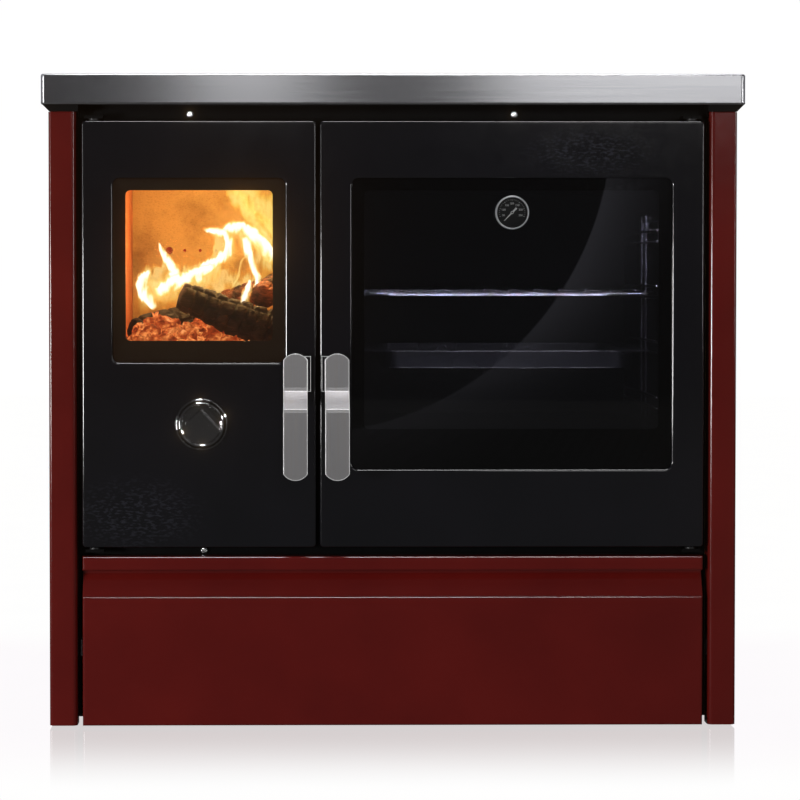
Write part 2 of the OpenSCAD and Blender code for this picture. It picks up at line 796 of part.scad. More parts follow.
module fire_grate() {
    half = grate_w / 2 - 1;
    top_z = hearth_z + 2;
    low_z = hearth_z - 18;
    bars = 8;
    pitch = (grate_w - 24) / bars;
    color(cast_iron) difference() {
        block([fire_x - half, grate_y - half, low_z], [fire_x + half, grate_y + half, top_z]);
        for (i = [0:bars - 1]) for (y = [-1, 1])
            translate([fire_x + (i - (bars - 1) / 2) * pitch, grate_y + y * (grate_w / 4 - 3), low_z - 1])
                linear_extrude(height = 22) rounded_rect(pitch / 2, grate_w / 2 - 18, pitch / 4 - 0.1);
    }
}

module log_guard() {
    half = fire_w / 2 - 2;
    color(cast_iron)
        block([fire_x - half, frame_back_y + 4, hearth_z],
            [fire_x + half, frame_back_y + 10, hearth_z + guard_h]);
}

module oven_liner() {
    color(black_enamel) {
        on_front(oven_x, oven_back_y, oven_mid_z) linear_extrude(height = oven_d) difference() {
            rounded_rect(oven_w + 2 * sheet_t, oven_h + 2 * sheet_t, oven_r + sheet_t);
            rounded_rect(oven_w, oven_h, oven_r);
        }
        front_plate(oven_x, oven_back_y, oven_mid_z, sheet_t)
            rounded_rect(oven_w + 2 * sheet_t, oven_h + 2 * sheet_t, oven_r + sheet_t);
    }
}

// One shelf level of a ladder: two round-ended wires along Y that the shelf slides between
module rail_pair() {
    r = ladder_wire / 2;
    for (z = [-level_pair / 2, level_pair / 2]) translate([0, r, z]) rotate([-90, 0, 0]) {
        sphere(r = r, $fn = 32);
        cylinder(r = r, h = ladder_l - 2 * r, $fn = 32);
        translate([0, 0, ladder_l - 2 * r]) sphere(r = r, $fn = 32);
    }
}

// Each ladder has its shelf wires, two upright wires by the wall and a strap that hooks it to the wall
module oven_ladders() {
    post_x = oven_w / 2 - seat_gap - ladder_wire / 2;
    post_y = ladder_front_y + ladder_l * 0.37;
    post_step = 47;
    strap_x = oven_w / 2 - seat_gap;
    strap_z = level_z[0] + level_pair / 2 + 4;
    strap_h = 9;
    color(stainless) for (s = [0, 1]) translate([oven_x, 0, 0]) mirror([s, 0, 0]) {
        for (z = level_z) translate([rail_mid_x, ladder_front_y, z]) rail_pair();
        for (y = [post_y, post_y + post_step])
            bar_z(post_x, y, ladder_wire / 2, oven_low_z + oven_r, strap_z + 2 * strap_h);
        block([strap_x - 1.5, ladder_front_y - 1, strap_z],
            [strap_x, post_y + post_step, strap_z + strap_h]);
        block([strap_x - 1.5, ladder_front_y - 1, strap_z + 1],
            [strap_x, ladder_front_y + 3, strap_z + 2 * strap_h]);
    }
}

module smoke_duct() {
    left_x = casing_right_x;
    color(dark_steel) difference() {
        union() {
            block([left_x, frame_back_y, duct_z], [duct_x, duct_back_y, duct_z + sheet_t]);
            block([duct_x - sheet_t, frame_back_y, duct_z], [duct_x, duct_back_y + sheet_t, bearer_z]);
            block([left_x - sheet_t, duct_back_y, duct_z], [duct_x, duct_back_y + sheet_t, bearer_z]);
            block([left_x - sheet_t, casing_back_y + casing_t, duct_z], [left_x, duct_back_y + 1, bearer_z]);
            block([oven_x - oven_w / 2, oven_back_y + sheet_t, oven_top_z - 20],
                [duct_x - 1, duct_back_y + 1, oven_top_z - 20 + sheet_t]);
        }
        bar_y(flue_x, flue_z, flue_d / 2 - flue_t, duct_back_y - 1, duct_back_y + sheet_t + 1);
    }
}

module soot_hatch() {
    color(cast_iron) {
        front_plate(oven_x, frame_y - 3, hatch_z, 3) rounded_rect(hatch_w, hatch_h, 6);
        for (s = [-1, 1]) bar_y(oven_x + s * (hatch_w / 2 - 12), hatch_z, 5, frame_y - 5.5, frame_y - 3);
    }
}

module flue_spigot() {
    r = flue_d / 2;
    back = duct_back_y + sheet_t;
    color(black_enamel) difference() {
        union() {
            bar_y(flue_x, flue_z, r, back, flue_end_y);
            bar_y(flue_x, flue_z, r + 16, back, back + 3);
        }
        bar_y(flue_x, flue_z, r - flue_t, back - 1, flue_end_y + 1);
    }
}

// Runner on the right: a channel open towards the drawer
module drawer_runners() {
    lip = rail_h / 2 + 0.5;
    color(zinc) for (s = [0, 1]) mirror([s, 0, 0]) difference() {
        block([box_x + 3, runner_y, rail_z - lip - sheet_t],
            [carcass_in_x, runner_y + runner_l, rail_z + lip + sheet_t]);
        block([box_x + 2, runner_y - 1, rail_z - lip],
            [carcass_in_x - sheet_t, runner_y + runner_l + 1, rail_z + lip]);
    }
}

// A bracket plate at each end of each hinge axis
module hinge_brackets() {
    low_z = door_low_z - bracket_gap - bracket_t;
    high_z = door_top_z + bracket_gap;
    color(black_enamel) for (s = [-1, 1], z = [low_z, high_z])
        difference() {
            block([s * hinge_x - 12, door_front_y + 1, z], [s * hinge_x + 12, frame_y, z + bracket_t]);
            bar_z(s * hinge_x, hinge_y, hinge_pin_d / 2, z - 1, z + bracket_t + 1);
        }
}

// Pins with a shoulder that carries the door; the bottom ones point up, the top ones down
module hinge_pins() {
    r = hinge_pin_d / 2;
    reach = 16;
    color(zinc) for (s = [-1, 1]) {
        bar_z(s * hinge_x, hinge_y, r, door_low_z - bracket_gap - bracket_t, door_low_z + reach);
        bar_z(s * hinge_x, hinge_y, r + 3, door_low_z - bracket_gap, door_low_z - seat_gap);
        bar_z(s * hinge_x, hinge_y, r, door_top_z - reach, door_top_z + bracket_gap + bracket_t);
        bar_z(s * hinge_x, hinge_y, r + 3, door_top_z + seat_gap, door_top_z + bracket_gap);
    }
}

module latch_studs() {
    color(zinc) for (x = [fire_stud_x, oven_stud_x]) {
        bar_y(x, stud_z, stud_head_d / 4, stud_head_y, frame_y);
        bar_y(x, stud_z, stud_head_d / 2, stud_head_y, stud_head_y + stud_head_t);
    }
}

// Hexagon bolt heads on the front frame and on the rear panel
module body_bolts() {
    head = 9;
    color(zinc) {
        for (p = [[-265, spacer_top_z - 10.5], [158.5, spacer_top_z - 10.5], [-247, drawer_top + 5.5]])
            on_front(p[0], frame_y, p[1]) cylinder(d = head, h = 4, $fn = 6);
        for (x = [-back_bolt_x, 0, back_bolt_x], z = [base_top_z + back_bolt_in, panel_top_z - back_bolt_in])
            on_front(x, panel_back_y + 3, z) cylinder(d = head, h = 3, $fn = 6);
    }
}

// Door pan seen from the front: a flat face with folded sides, before its openings are cut
module pan(w, h, win_w, win_h, win_drop) {
    win_lip = glass_back - win_fold_r;
    translate([0, 0, -door_t]) linear_extrude(height = door_t) difference() {
        rounded_rect(w - 2 * door_fold_r, h - 2 * door_fold_r, door_corner_r - door_fold_r);
        translate([0, win_drop])
            rounded_rect(win_w + 2 * win_fold_r, win_h + 2 * win_fold_r, win_corner_r + win_fold_r);
    }
    sweep_rect(w, h, door_corner_r) {
        translate([-door_fold_r, -door_fold_r]) bend(door_fold_r, door_t, 0);
        translate([-door_t, -door_depth]) square([door_t, door_depth - door_fold_r]);
    }
    translate([0, win_drop, 0]) sweep_rect(win_w, win_h, win_corner_r) {
        translate([win_fold_r, -win_fold_r]) bend(win_fold_r, door_t, 1);
        translate([0, -glass_back]) square([door_t, win_lip]);
    }
}

// Bush on the back of the door's front sheet for a handle spindle
module spindle_bush(x) {
    bar_y(x, handle_z, spindle_bush_d / 2, door_front_y + door_t, door_front_y + door_t + spindle_bush_l);
}

module spindle_hole(x) {
    bush_back_y = door_front_y + door_t + spindle_bush_l;
    bar_y(x, handle_z, spindle_d / 2 + turn_gap, door_front_y - 1, bush_back_y + 1);
}

// Clearance holes for the hinge pins in the pan's folded edges
module hinge_holes(x) {
    bar_z(x, hinge_y, hinge_pin_d / 2 + 0.5, door_low_z - 1, door_low_z + door_t + 1);
    bar_z(x, hinge_y, hinge_pin_d / 2 + 0.5, door_top_z - door_t - 1, door_top_z + 1);
}

module fire_door_panel() {
    color(black_enamel) difference() {
        union() {
            on_front(fire_x, door_front_y, door_mid_z)
                pan(fire_door_w, door_h, fire_win_w, fire_win_h, fire_win_z - door_mid_z);
            spindle_bush(fire_handle_x);
        }
        spindle_hole(fire_handle_x);
        hinge_holes(-hinge_x);
        air_ports(door_front_y - 1, door_front_y + door_t + 1);
        bar_y(air_x, air_z, knob_spindle_d / 2 + turn_gap, door_front_y - 1, door_front_y + door_t + 1);
    }
}

// Four air holes on a circle round the knob's spindle
module air_ports(y0, y1) {
    for (a = [0:90:270])
        bar_y(air_x + air_circle_r * cos(a + 45), air_z + air_circle_r * sin(a + 45), air_hole_d / 2, y0, y1);
}

module fire_door_glass() {
    color(clear_glass, 0.4) front_plate(fire_x, glass_y, fire_win_z, glass_t)
        rounded_rect(fire_win_w + 2 * glass_lap, fire_win_h + 2 * glass_lap, win_corner_r);
}

module fire_glass_border() {
    color(black_enamel) front_plate(fire_x, border_y, fire_win_z, border_t) difference() {
        rounded_rect(fire_win_w + 2 * glass_lap, fire_win_h + 2 * glass_lap, win_corner_r);
        translate([0, fire_clear_z - fire_win_z]) rounded_rect(fire_clear_w, fire_clear_h, clear_r);
    }
}

// Inner sheet of a door, lying inside the pan's back edge
module liner_outline(w) {
    inset = door_t + seat_gap;
    rounded_rect(w - 2 * inset, door_h - 2 * inset, door_corner_r - door_t);
}

// Slot in a door's liner that the latch stud passes through, open to the edge beside it.
// The side is 1 for the right edge and -1 for the left one.
module stud_slot(x, side) {
    r = stud_head_d / 2 + 2;
    y = door_back_y - sheet_t - 1;
    bar_y(x, stud_z, r, y, y + sheet_t + 2);
    block([min(x, x + side * 30), y, stud_z - r], [max(x, x + side * 30), y + sheet_t + 2, stud_z + r]);
}

module fire_door_liner() {
    y = door_back_y - sheet_t;
    room = 8;
    color(dark_steel) difference() {
        front_plate(fire_x, y, door_mid_z, sheet_t) difference() {
            liner_outline(fire_door_w);
            translate([0, fire_clear_z - door_mid_z])
                rounded_rect(fire_clear_w + 2 * room, fire_clear_h + 2 * room, clear_r);
            for (i = [-2:2]) translate([i * 36, ash_z + 40 - door_mid_z]) rounded_rect(24, 8, 3.9);
        }
        stud_slot(fire_stud_x, 1);
    }
}

// Rope seal on a door's liner round an opening of the front frame
module seal(x, z, w, h) {
    depth = door_frame_gap - seat_gap;
    r = seal_w / 2 - 0.6;
    on_front(x, frame_y - seat_gap, z) sweep_rect(w + 2 * seal_off, h + 2 * seal_off, 10)
        translate([seal_w / 2, depth / 2]) rounded_rect(seal_w, depth, r);
}

module fire_door_seal() {
    low_z = ash_z;
    high_z = fire_open_z + fire_open_h / 2;
    color(rope_grey) seal(fire_x, (low_z + high_z) / 2, fire_w, high_z - low_z);
}

// Bored blocks in the pan's top and bottom edges that turn on the hinge pins
module bushes(x) {
    size_x = 20;
    size_z = 20;
    front = door_front_y + door_fold_r;
    difference() {
        for (z = [door_low_z + door_t, door_top_z - door_t - size_z])
            block([x - size_x / 2, front, z], [x + size_x / 2, hinge_y + hinge_back, z + size_z]);
        bar_z(x, hinge_y, hinge_pin_d / 2 + turn_gap, door_low_z, door_low_z + door_t + size_z + 1);
        bar_z(x, hinge_y, hinge_pin_d / 2 + turn_gap, door_top_z - door_t - size_z - 1, door_top_z);
    }
}

module fire_hinge_bushes() {
    color(zinc) bushes(-hinge_x);
}

module air_rosette() {
    outer = rosette_d / 2;
    inner = knob_d / 2 + 1;
    color(black_enamel) on_front(air_x, door_front_y, air_z) rotate_extrude($fn = 96)
        polygon([[inner, 0], [outer, 0], [outer, 1], [outer - 1.2, 2.4], [inner + 0.8, 2.4], [inner, 1.6]]);
}

// Outline of the raised finger plate on the knob, its peak pointing up
module knob_ridge() {
    r = knob_d / 2 - knob_rim - 0.5;
    intersection() {
        circle(r = r, $fn = 96);
        polygon([[0, r * 0.8], [r * 0.92, -r * 0.2], [r, -r * 0.2], [r, -r], [-r, -r], [-r, -r * 0.1]]);
    }
}

module air_knob() {
    r = knob_d / 2;
    floor_h = 4;
    color(black_enamel) on_front(air_x, door_front_y, air_z) {
        rotate_extrude($fn = 96)
            polygon([[0, air_lift], [r, air_lift], [r, knob_h - 1.2], [r - 1, knob_h],
                [r - knob_rim + 1, knob_h], [r - knob_rim, knob_h - 1.2],
                [r - knob_rim, floor_h], [0, floor_h]]);
        linear_extrude(height = floor_h + 2.5) knob_ridge();
        translate([0, 0, -door_t - shutter_t - 4])
            cylinder(d = knob_spindle_d, h = door_t + shutter_t + 5, $fn = 48);
    }
}

module air_shutter() {
    y = door_front_y + door_t + seat_gap;
    color(zinc) difference() {
        bar_y(air_x, air_z, air_circle_r + air_hole_d / 2 + 2, y, y + shutter_t);
        air_ports(y - 1, y + shutter_t + 1);
        bar_y(air_x, air_z, knob_spindle_d / 2, y - 1, y + shutter_t + 1);
    }
}

// Side view of the handle strip as points in (distance in front of the door, height over the axis)
function strip_side() =
    let (a = strip_off, b = grip_off - strip_t, t = strip_t, m = t * 0.41, soft = 3)
    concat(
        [[a, strip_up], [a, -strip_bend_up - m + soft], [a + 0.7, -strip_bend_up - m - 1]],
        [[b - 0.8, -strip_bend_low - m + 1], [b, -strip_bend_low - m - soft], [b, -strip_down]],
        [[b + t, -strip_down], [b + t, -strip_bend_low - soft + m], [b + t - 0.7, -strip_bend_low + m + 1]],
        [[a + t + 0.8, -strip_bend_up + m - 1], [a + t, -strip_bend_up + m + soft], [a + t, strip_up]]);

// Front view of the handle strip with its two rounded ends
function strip_front() =
    let (half = asin(strip_w / 2 / strip_end_r))
    concat(arc(0, strip_up - strip_end_r, strip_end_r, 90 - half, 90 + half, 12),
        arc(0, -strip_down + strip_end_r, strip_end_r, 270 - half, 270 + half, 12));

// Handle for the fire door; the oven's is its mirror image. Drawn at its axis on the door's front.
module handle() {
    hub_low = -strip_w / 2 + 5;
    hub_high = strip_w / 2 + hub_show;
    intersection() {
        rotate([90, 0, 90]) translate([0, 0, -strip_w / 2]) linear_extrude(height = strip_w)
            polygon([for (p = strip_side()) [-p[0], p[1]]]);
        rotate([90, 0, 0]) linear_extrude(height = grip_off + 1) polygon(strip_front());
    }
    translate([hub_low, -strip_off, -strip_bend_up])
        cube([hub_high - hub_low, strip_off - 4, strip_up + strip_bend_up - 3.5]);
    translate([0, -seat_gap, 0]) rotate([90, 0, 0]) cylinder(r = spindle_d / 2 + 4, h = 6, $fn = 64);
    translate([0, arm_y + arm_t - door_front_y, 0]) rotate([90, 0, 0])
        cylinder(d = spindle_d, h = arm_y + arm_t - door_front_y + 4, $fn = 64);
}

// Arm on the inner end of the spindle that catches behind the stud's head
module latch_arm() {
    difference() {
        union() {
            translate([-latch_w / 2, 0, -latch_r - 4]) cube([latch_w, arm_t, latch_r + 4]);
            rotate([-90, 0, 0]) cylinder(r = spindle_d / 2 + 2, h = arm_t, $fn = 64);
        }
        translate([0, -1, 0]) rotate([-90, 0, 0]) cylinder(d = spindle_d, h = arm_t + 2, $fn = 64);
    }
}

module fire_handle() {
    color(stainless) translate([fire_handle_x, door_front_y, handle_z]) handle();
}

module fire_latch_arm() {
    color(zinc) translate([fire_handle_x, arm_y, handle_z]) latch_arm();
}

module oven_handle() {
    color(stainless) translate([oven_handle_x, door_front_y, handle_z]) mirror([1, 0, 0]) handle();
}

module oven_latch_arm() {
    color(zinc) translate([oven_handle_x, arm_y, handle_z]) latch_arm();
}

module oven_door_panel() {
    color(black_enamel) difference() {
        union() {
            on_front(oven_x, door_front_y, door_mid_z)
                pan(oven_door_w, door_h, oven_win_w, oven_win_h, oven_win_z - door_mid_z);
            spindle_bush(oven_handle_x);
        }
        spindle_hole(oven_handle_x);
        hinge_holes(hinge_x);
    }
}

module oven_door_glass() {
    color(clear_glass, 0.4) difference() {
        front_plate(oven_x, glass_y, oven_win_z, glass_t)
            rounded_rect(oven_win_w + 2 * glass_lap, oven_win_h + 2 * glass_lap, win_corner_r);
        bar_y(oven_x, thermo_z, stem_d / 2 + stem_gap, glass_y - 1, glass_y + glass_t + 1);
    }
}

module oven_glass_border() {
    color(black_enamel) front_plate(oven_x, border_y, oven_win_z, border_t) difference() {
        rounded_rect(oven_win_w + 2 * glass_lap, oven_win_h + 2 * glass_lap, win_corner_r);
        translate([0, oven_clear_z - oven_win_z]) rounded_rect(oven_clear_w, oven_clear_h, clear_r);
    }
}

module oven_door_liner() {
    y = door_back_y - sheet_t;
    room = 4;
    color(dark_steel) difference() {
        front_plate(oven_x, y, door_mid_z, sheet_t) difference() {
            liner_outline(oven_door_w);
            translate([0, oven_clear_z - door_mid_z])
                rounded_rect(oven_clear_w + 2 * room, oven_clear_h + 2 * room, clear_r);
        }
        stud_slot(oven_stud_x, -1);
    }
}

module oven_inner_glass() {
    y = inner_glass_y;
    lap = 10;
    color(clear_glass, 0.4) difference() {
        front_plate(oven_x, y, oven_clear_z, glass_t)
            rounded_rect(oven_clear_w + 2 * lap, oven_clear_h + 2 * lap, clear_r);
        bar_y(oven_x, thermo_z, stem_d / 2 + stem_gap, y - 1, y + glass_t + 1);
    }
}

module oven_door_seal() {
    color(rope_grey) seal(oven_x, oven_mid_z, oven_w, oven_h);
}

module oven_hinge_bushes() {
    color(zinc) bushes(hinge_x);
}

// Thermometer case on the glass, with a bezel in front and a probe through the glass
module thermometer_case() {
    r = thermo_d / 2;
    stem_l = door_back_y + 6 - glass_y;
    color(stainless) on_front(oven_x, glass_y, thermo_z) {
        rotate_extrude($fn = 96)
            polygon([[0, 0], [r - 1, 0], [r, 1], [r, thermo_h - 0.8], [r - 0.8, thermo_h],
                [r - 2.4, thermo_h], [r - 2.4, thermo_h - 0.5], [r - 1.5, thermo_h - 1],
                [r - 1.5, 2], [0, 2]]);
        translate([0, 0, 1]) cylinder(d = 2, h = thermo_h - 3.4, $fn = 32);
        translate([0, 0, -stem_l]) cylinder(d = stem_d, h = stem_l + 1, $fn = 48);
    }
}

module thermometer_lens() {
    y = glass_y - thermo_h + 1;
    color(clear_glass, 0.3) bar_y(oven_x, thermo_z, thermo_d / 2 - 1.7, y, y + 1);
}

module thermometer_needle() {
    t = 0.7;
    tip = thermo_d / 2 - 7;
    color("white") on_front(oven_x, needle_y + t, thermo_z) rotate(needle_angle) difference() {
        union() {
            linear_extrude(height = t)
                polygon([[-tip * 0.55, -1.3], [0, -1], [tip, -0.35],
                    [tip, 0.35], [0, 1], [-tip * 0.55, 1.3]]);
            cylinder(r = 2, h = t, $fn = 48);
        }
        translate([0, 0, -1]) cylinder(r = 1 + turn_gap, h = t + 2, $fn = 48);
    }
}

// Side view of the drawer front's outer skin in (distance behind its face, height)
function drawer_skin(t) =
    let (r = drawer_fold_r, low = floor_gap, high = drawer_top, edge = high - strip_h, lip = edge - channel_h,
        back = drawer_front_d)
    t == 0
        ? concat([[back, low]], arc(r, low + r, r, 270, 180), arc(r, lip - r, r, 180, 90),
            [[channel_d, edge - 5], [channel_d, edge]], arc(r, edge + r, r, 270, 180),
            arc(r, high - r, r, 180, 90), [[back, high]])
        : concat([[back + 1, low + t]], arc(r, low + r, r - t, 270, 180),
            arc(r, lip - r, r - t, 180, 90),
            [[channel_d + t, edge - 5 - t], [channel_d + t, edge + t]], arc(r, edge + r, r - t, 270, 180),
            arc(r, high - r, r - t, 180, 90), [[back + 1, high - t]]);

module wood_drawer_front() {
    w = 2 * drawer_x;
    r = drawer_fold_r;
    color(red_enamel) intersection() {
        difference() {
            translate([-w / 2, drawer_front_y, 0]) rotate([90, 0, 90])
                linear_extrude(height = w) polygon(drawer_skin(0));
            translate([-w / 2 + panel_t, drawer_front_y, 0]) rotate([90, 0, 90])
                linear_extrude(height = w - 2 * panel_t) polygon(drawer_skin(panel_t));
        }
        linear_extrude(height = drawer_top + 1) translate([0, drawer_front_y])
            polygon(concat(arc(-w / 2 + r, r, r, 180, 270), arc(w / 2 - r, r, r, 270, 360),
                [[w / 2, drawer_front_d + 2], [-w / 2, drawer_front_d + 2]]));
    }
}

// Front plate, one sheet folded to floor and back, and two side walls with the rails on them
module wood_drawer_box() {
    plate_x = drawer_x - 1;
    plate_y = drawer_back_y + panel_t;
    back_y = drawer_back_y + box_d;
    top_z = box_z + box_h;
    wall_x = box_x - panel_t;
    floor_x = wall_x - seat_gap;
    color(dark_steel) {
        block([-plate_x, drawer_back_y, floor_gap + 1], [plate_x, plate_y, drawer_top - 1]);
        block([-floor_x, plate_y + seat_gap, box_z], [floor_x, back_y, box_z + panel_t]);
        block([-floor_x, back_y - panel_t, box_z], [floor_x, back_y, top_z]);
        for (s = [0, 1]) mirror([s, 0, 0]) {
            block([wall_x, plate_y + seat_gap, box_z], [box_x, back_y, top_z]);
            block([box_x - 0.5, runner_y, rail_z - rail_h / 2],
                [box_x + rail_depth, runner_y + runner_l, rail_z + rail_h / 2]);
        }
    }
}

module ash_pan() {
    half = ash_pan_w / 2;
    back = casing_back_y - ash_pan_back;
    front = back - ash_pan_d;
    z = ash_z + seat_gap;
    wall = [1.5, 1.5, 1.5];
    grip_z = z + ash_pan_h * 0.6;
    color(zinc) {
        difference() {
            block([fire_x - half, front, z], [fire_x + half, back, z + ash_pan_h]);
            block([fire_x - half, front, z] + wall, [fire_x + half, back, z + ash_pan_h] - [1.5, 1.5, -1]);
        }
        for (s = [-1, 1]) bar_y(fire_x + s * 45, grip_z, 3, front - 18, front + 1);
        translate([fire_x - 48, front - 18, grip_z]) rotate([0, 90, 0]) cylinder(r = 3, h = 96, $fn = 32);
    }
}

module wire_shelf() {
    w = 2 * shelf_half;
    r = shelf_rod / 2;
    count = floor((w - 2 * r - 20) / shelf_pitch);
    color(stainless) translate([oven_x, shelf_front_y + shelf_d / 2, level_z[1] + rest_z + r]) {
        sweep_rect(w - 2 * r, shelf_d - 2 * r, 14) circle(r = r, $fn = 32);
        for (i = [0:count]) translate([(i - count / 2) * shelf_pitch, shelf_d / 2 - 1, r + shelf_wire / 2 - 0.5])
            rotate([90, 0, 0]) cylinder(d = shelf_wire, h = shelf_d - 2, $fn = 32);
    }
}

module baking_tray() {
    w = 2 * shelf_half;
    t = 1.5;
    pan_w = w - 2 * tray_flange;
    pan_d = shelf_d - 30;
    color(black_enamel) translate([oven_x, shelf_front_y + shelf_d / 2, level_z[2] + rest_z]) difference() {
        union() {
            linear_extrude(height = t) rounded_rect(w, shelf_d, 14);
            translate([0, 0, -tray_h]) linear_extrude(height = tray_h + t / 2)
                rounded_rect(pan_w, pan_d, 18);
        }
        translate([0, 0, -tray_h + t]) linear_extrude(height = tray_h + t)
            rounded_rect(pan_w - 2 * t, pan_d - 2 * t, 18 - t);
    }
}

levelling_feet();
base_plate();
carcass_sides();
front_frame();
drawer_ceiling();
rear_panel();
left_side_panel();
right_side_panel();
side_insulation();
under_top_frame();
hob_frame();
plate_bearer();
cooking_plate();
firebox_casing();
left_firebrick();
right_firebrick();
back_firebrick();
hearth_slab();
fire_grate();
log_guard();
oven_liner();
oven_ladders();
smoke_duct();
soot_hatch();
flue_spigot();
drawer_runners();
hinge_brackets();
hinge_pins();
latch_studs();
body_bolts();
fire_door_panel();
fire_door_glass();
fire_glass_border();
fire_door_liner();
fire_door_seal();
fire_hinge_bushes();
air_rosette();
air_knob();
air_shutter();
fire_handle();
fire_latch_arm();
oven_door_panel();
oven_door_glass();
oven_glass_border();
oven_door_liner();
oven_inner_glass();
oven_door_seal();
oven_hinge_bushes();
thermometer_case();
thermometer_lens();
thermometer_needle();
oven_handle();
oven_latch_arm();
hob_ring();
hob_lid();
wood_drawer_front();
wood_drawer_box();
ash_pan();
wire_shelf();
baking_tray();
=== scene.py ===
# %% [markdown]
# # A wood-burning cook stove, dressed for the studio
# The metal parts come ready made and stay exactly where they are. In this notebook I give them
# their enamel, steel, iron and brick, light the fire, and set up the studio and the camera.

import math
import random

import bmesh
import bpy
from mathutils import Matrix, Vector, noise


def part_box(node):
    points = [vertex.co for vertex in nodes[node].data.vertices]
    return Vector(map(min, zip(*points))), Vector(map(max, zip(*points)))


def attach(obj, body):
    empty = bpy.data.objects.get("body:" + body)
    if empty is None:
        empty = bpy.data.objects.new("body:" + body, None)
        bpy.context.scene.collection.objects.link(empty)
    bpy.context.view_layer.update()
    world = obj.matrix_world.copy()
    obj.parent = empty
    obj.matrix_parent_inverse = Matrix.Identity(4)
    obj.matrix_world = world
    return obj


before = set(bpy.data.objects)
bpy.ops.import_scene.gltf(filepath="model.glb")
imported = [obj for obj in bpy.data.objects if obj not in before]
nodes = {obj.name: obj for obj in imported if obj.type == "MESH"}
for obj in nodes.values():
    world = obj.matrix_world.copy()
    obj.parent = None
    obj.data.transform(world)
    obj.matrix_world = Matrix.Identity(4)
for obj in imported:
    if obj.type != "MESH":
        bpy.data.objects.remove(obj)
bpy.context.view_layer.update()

# %% [markdown]
# ## The camera
# I stand about three and a half metres off, a little left of the middle and almost level, with a
# long lens that is shifted. These values come from fitting the stove's edges to the picture; how
# high the camera stood can't be told well from it.

# %% Camera
CAMERA_PLACE = (-0.125, -3.8, 0.6)
LOOK_DOWN, TURN_RIGHT = 1.624, 0.658  # degrees
scene = bpy.context.scene
camera_data = bpy.data.cameras.new("camera")
camera_data.lens = 121.73
camera_data.sensor_width = 36.0
camera_data.shift_x = 0.09
camera_data.shift_y = -0.07
camera_data.clip_end = 60
camera = bpy.data.objects.new("camera", camera_data)
camera.location = CAMERA_PLACE
camera.rotation_euler = (math.radians(90 - LOOK_DOWN), 0, math.radians(-TURN_RIGHT))
scene.collection.objects.link(camera)
scene.camera = camera
scene.view_settings.view_transform = "Standard"
print("camera at", tuple(round(v, 3) for v in camera.location))

# %% [markdown]
# ## Small helpers
# Colours are easiest to pick as hex values from the photograph, but the renderer wants linear
# light, so one function converts them. Another adds a shader node with its settings and links.


# %% Helpers
def srgb(code):
    """Hex colour to linear red, green, blue and alpha."""
    channels = [int(code[i:i + 2], 16) / 255 for i in (1, 3, 5)]
    return tuple(c / 12.92 if c <= 0.04045 else ((c + 0.055) / 1.055) ** 2.4 for c in channels) + (1.0,)


def add(tree, kind, inputs=None, **settings):
    """Adds a shader node; an input is a value or another node's output socket."""
    made = tree.nodes.new("ShaderNode" + kind)
    for key, value in settings.items():
        setattr(made, key, value)
    for key, value in (inputs or {}).items():
        if isinstance(value, bpy.types.NodeSocket):
            tree.links.new(value, made.inputs[key])
        else:
            made.inputs[key].default_value = value
    return made


def ramp(tree, factor, stops):
    """Colour ramp; stops are (position, hex colour)."""
    made = add(tree, "ValToRGB", {"Fac": factor})
    elements = made.color_ramp.elements
    while len(elements) < len(stops):
        elements.new(0.5)
    for element, (position, code) in zip(elements, stops):
        element.position = position
        element.color = srgb(code)
    return made.outputs["Color"]


def spread(tree, factor, low, high):
    """Turns a 0 to 1 value into one between low and high."""
    return add(tree, "MapRange", {"Value": factor, "To Min": low, "To Max": high}).outputs["Result"]


def coordinates(tree, scale):
    """Object coordinates in metres, multiplied by scale."""
    place = add(tree, "TexCoord").outputs["Object"]
    return add(tree, "VectorMath", {0: place, 1: scale}, operation="MULTIPLY").outputs["Vector"]


def cloud(tree, scale, detail=4.0, rough=0.5, stretch=(1, 1, 1)):
    """Noise between 0 and 1; scale is in bumps per metre."""
    return add(tree, "TexNoise", {"Vector": coordinates(tree, stretch), "Scale": scale, "Detail": detail,
                                  "Roughness": rough}).outputs["Fac"]


def bump(tree, height, size_mm, strength=1.0, normal=None):
    """Bump from a 0 to 1 height that is size_mm deep."""
    inputs = {"Height": height, "Distance": size_mm / 1000, "Strength": strength}
    if normal:
        inputs["Normal"] = normal
    return add(tree, "Bump", inputs).outputs["Normal"]


def rounded(tree, edge_mm):
    """Normals that round a sharp edge off, so that it catches the light."""
    return add(tree, "Bevel", {"Radius": edge_mm / 1000}, samples=6).outputs["Normal"]


def material(name, colour="#808080", roughness=0.5, metallic=0.0, **sockets):
    """A new material with a principled shader; sockets are constant values named with underscores."""
    made = bpy.data.materials.new(name)
    made.use_nodes = True
    shader = made.node_tree.nodes["Principled BSDF"]
    shader.inputs["Base Color"].default_value = srgb(colour)
    shader.inputs["Roughness"].default_value = roughness
    shader.inputs["Metallic"].default_value = metallic
    for key, value in sockets.items():
        shader.inputs[key.replace("_", " ")].default_value = value
    return made, made.node_tree, shader


def wire(tree, socket, target):
    """Links one node's output to another's input."""
    tree.links.new(socket, target)


print("helpers ready")
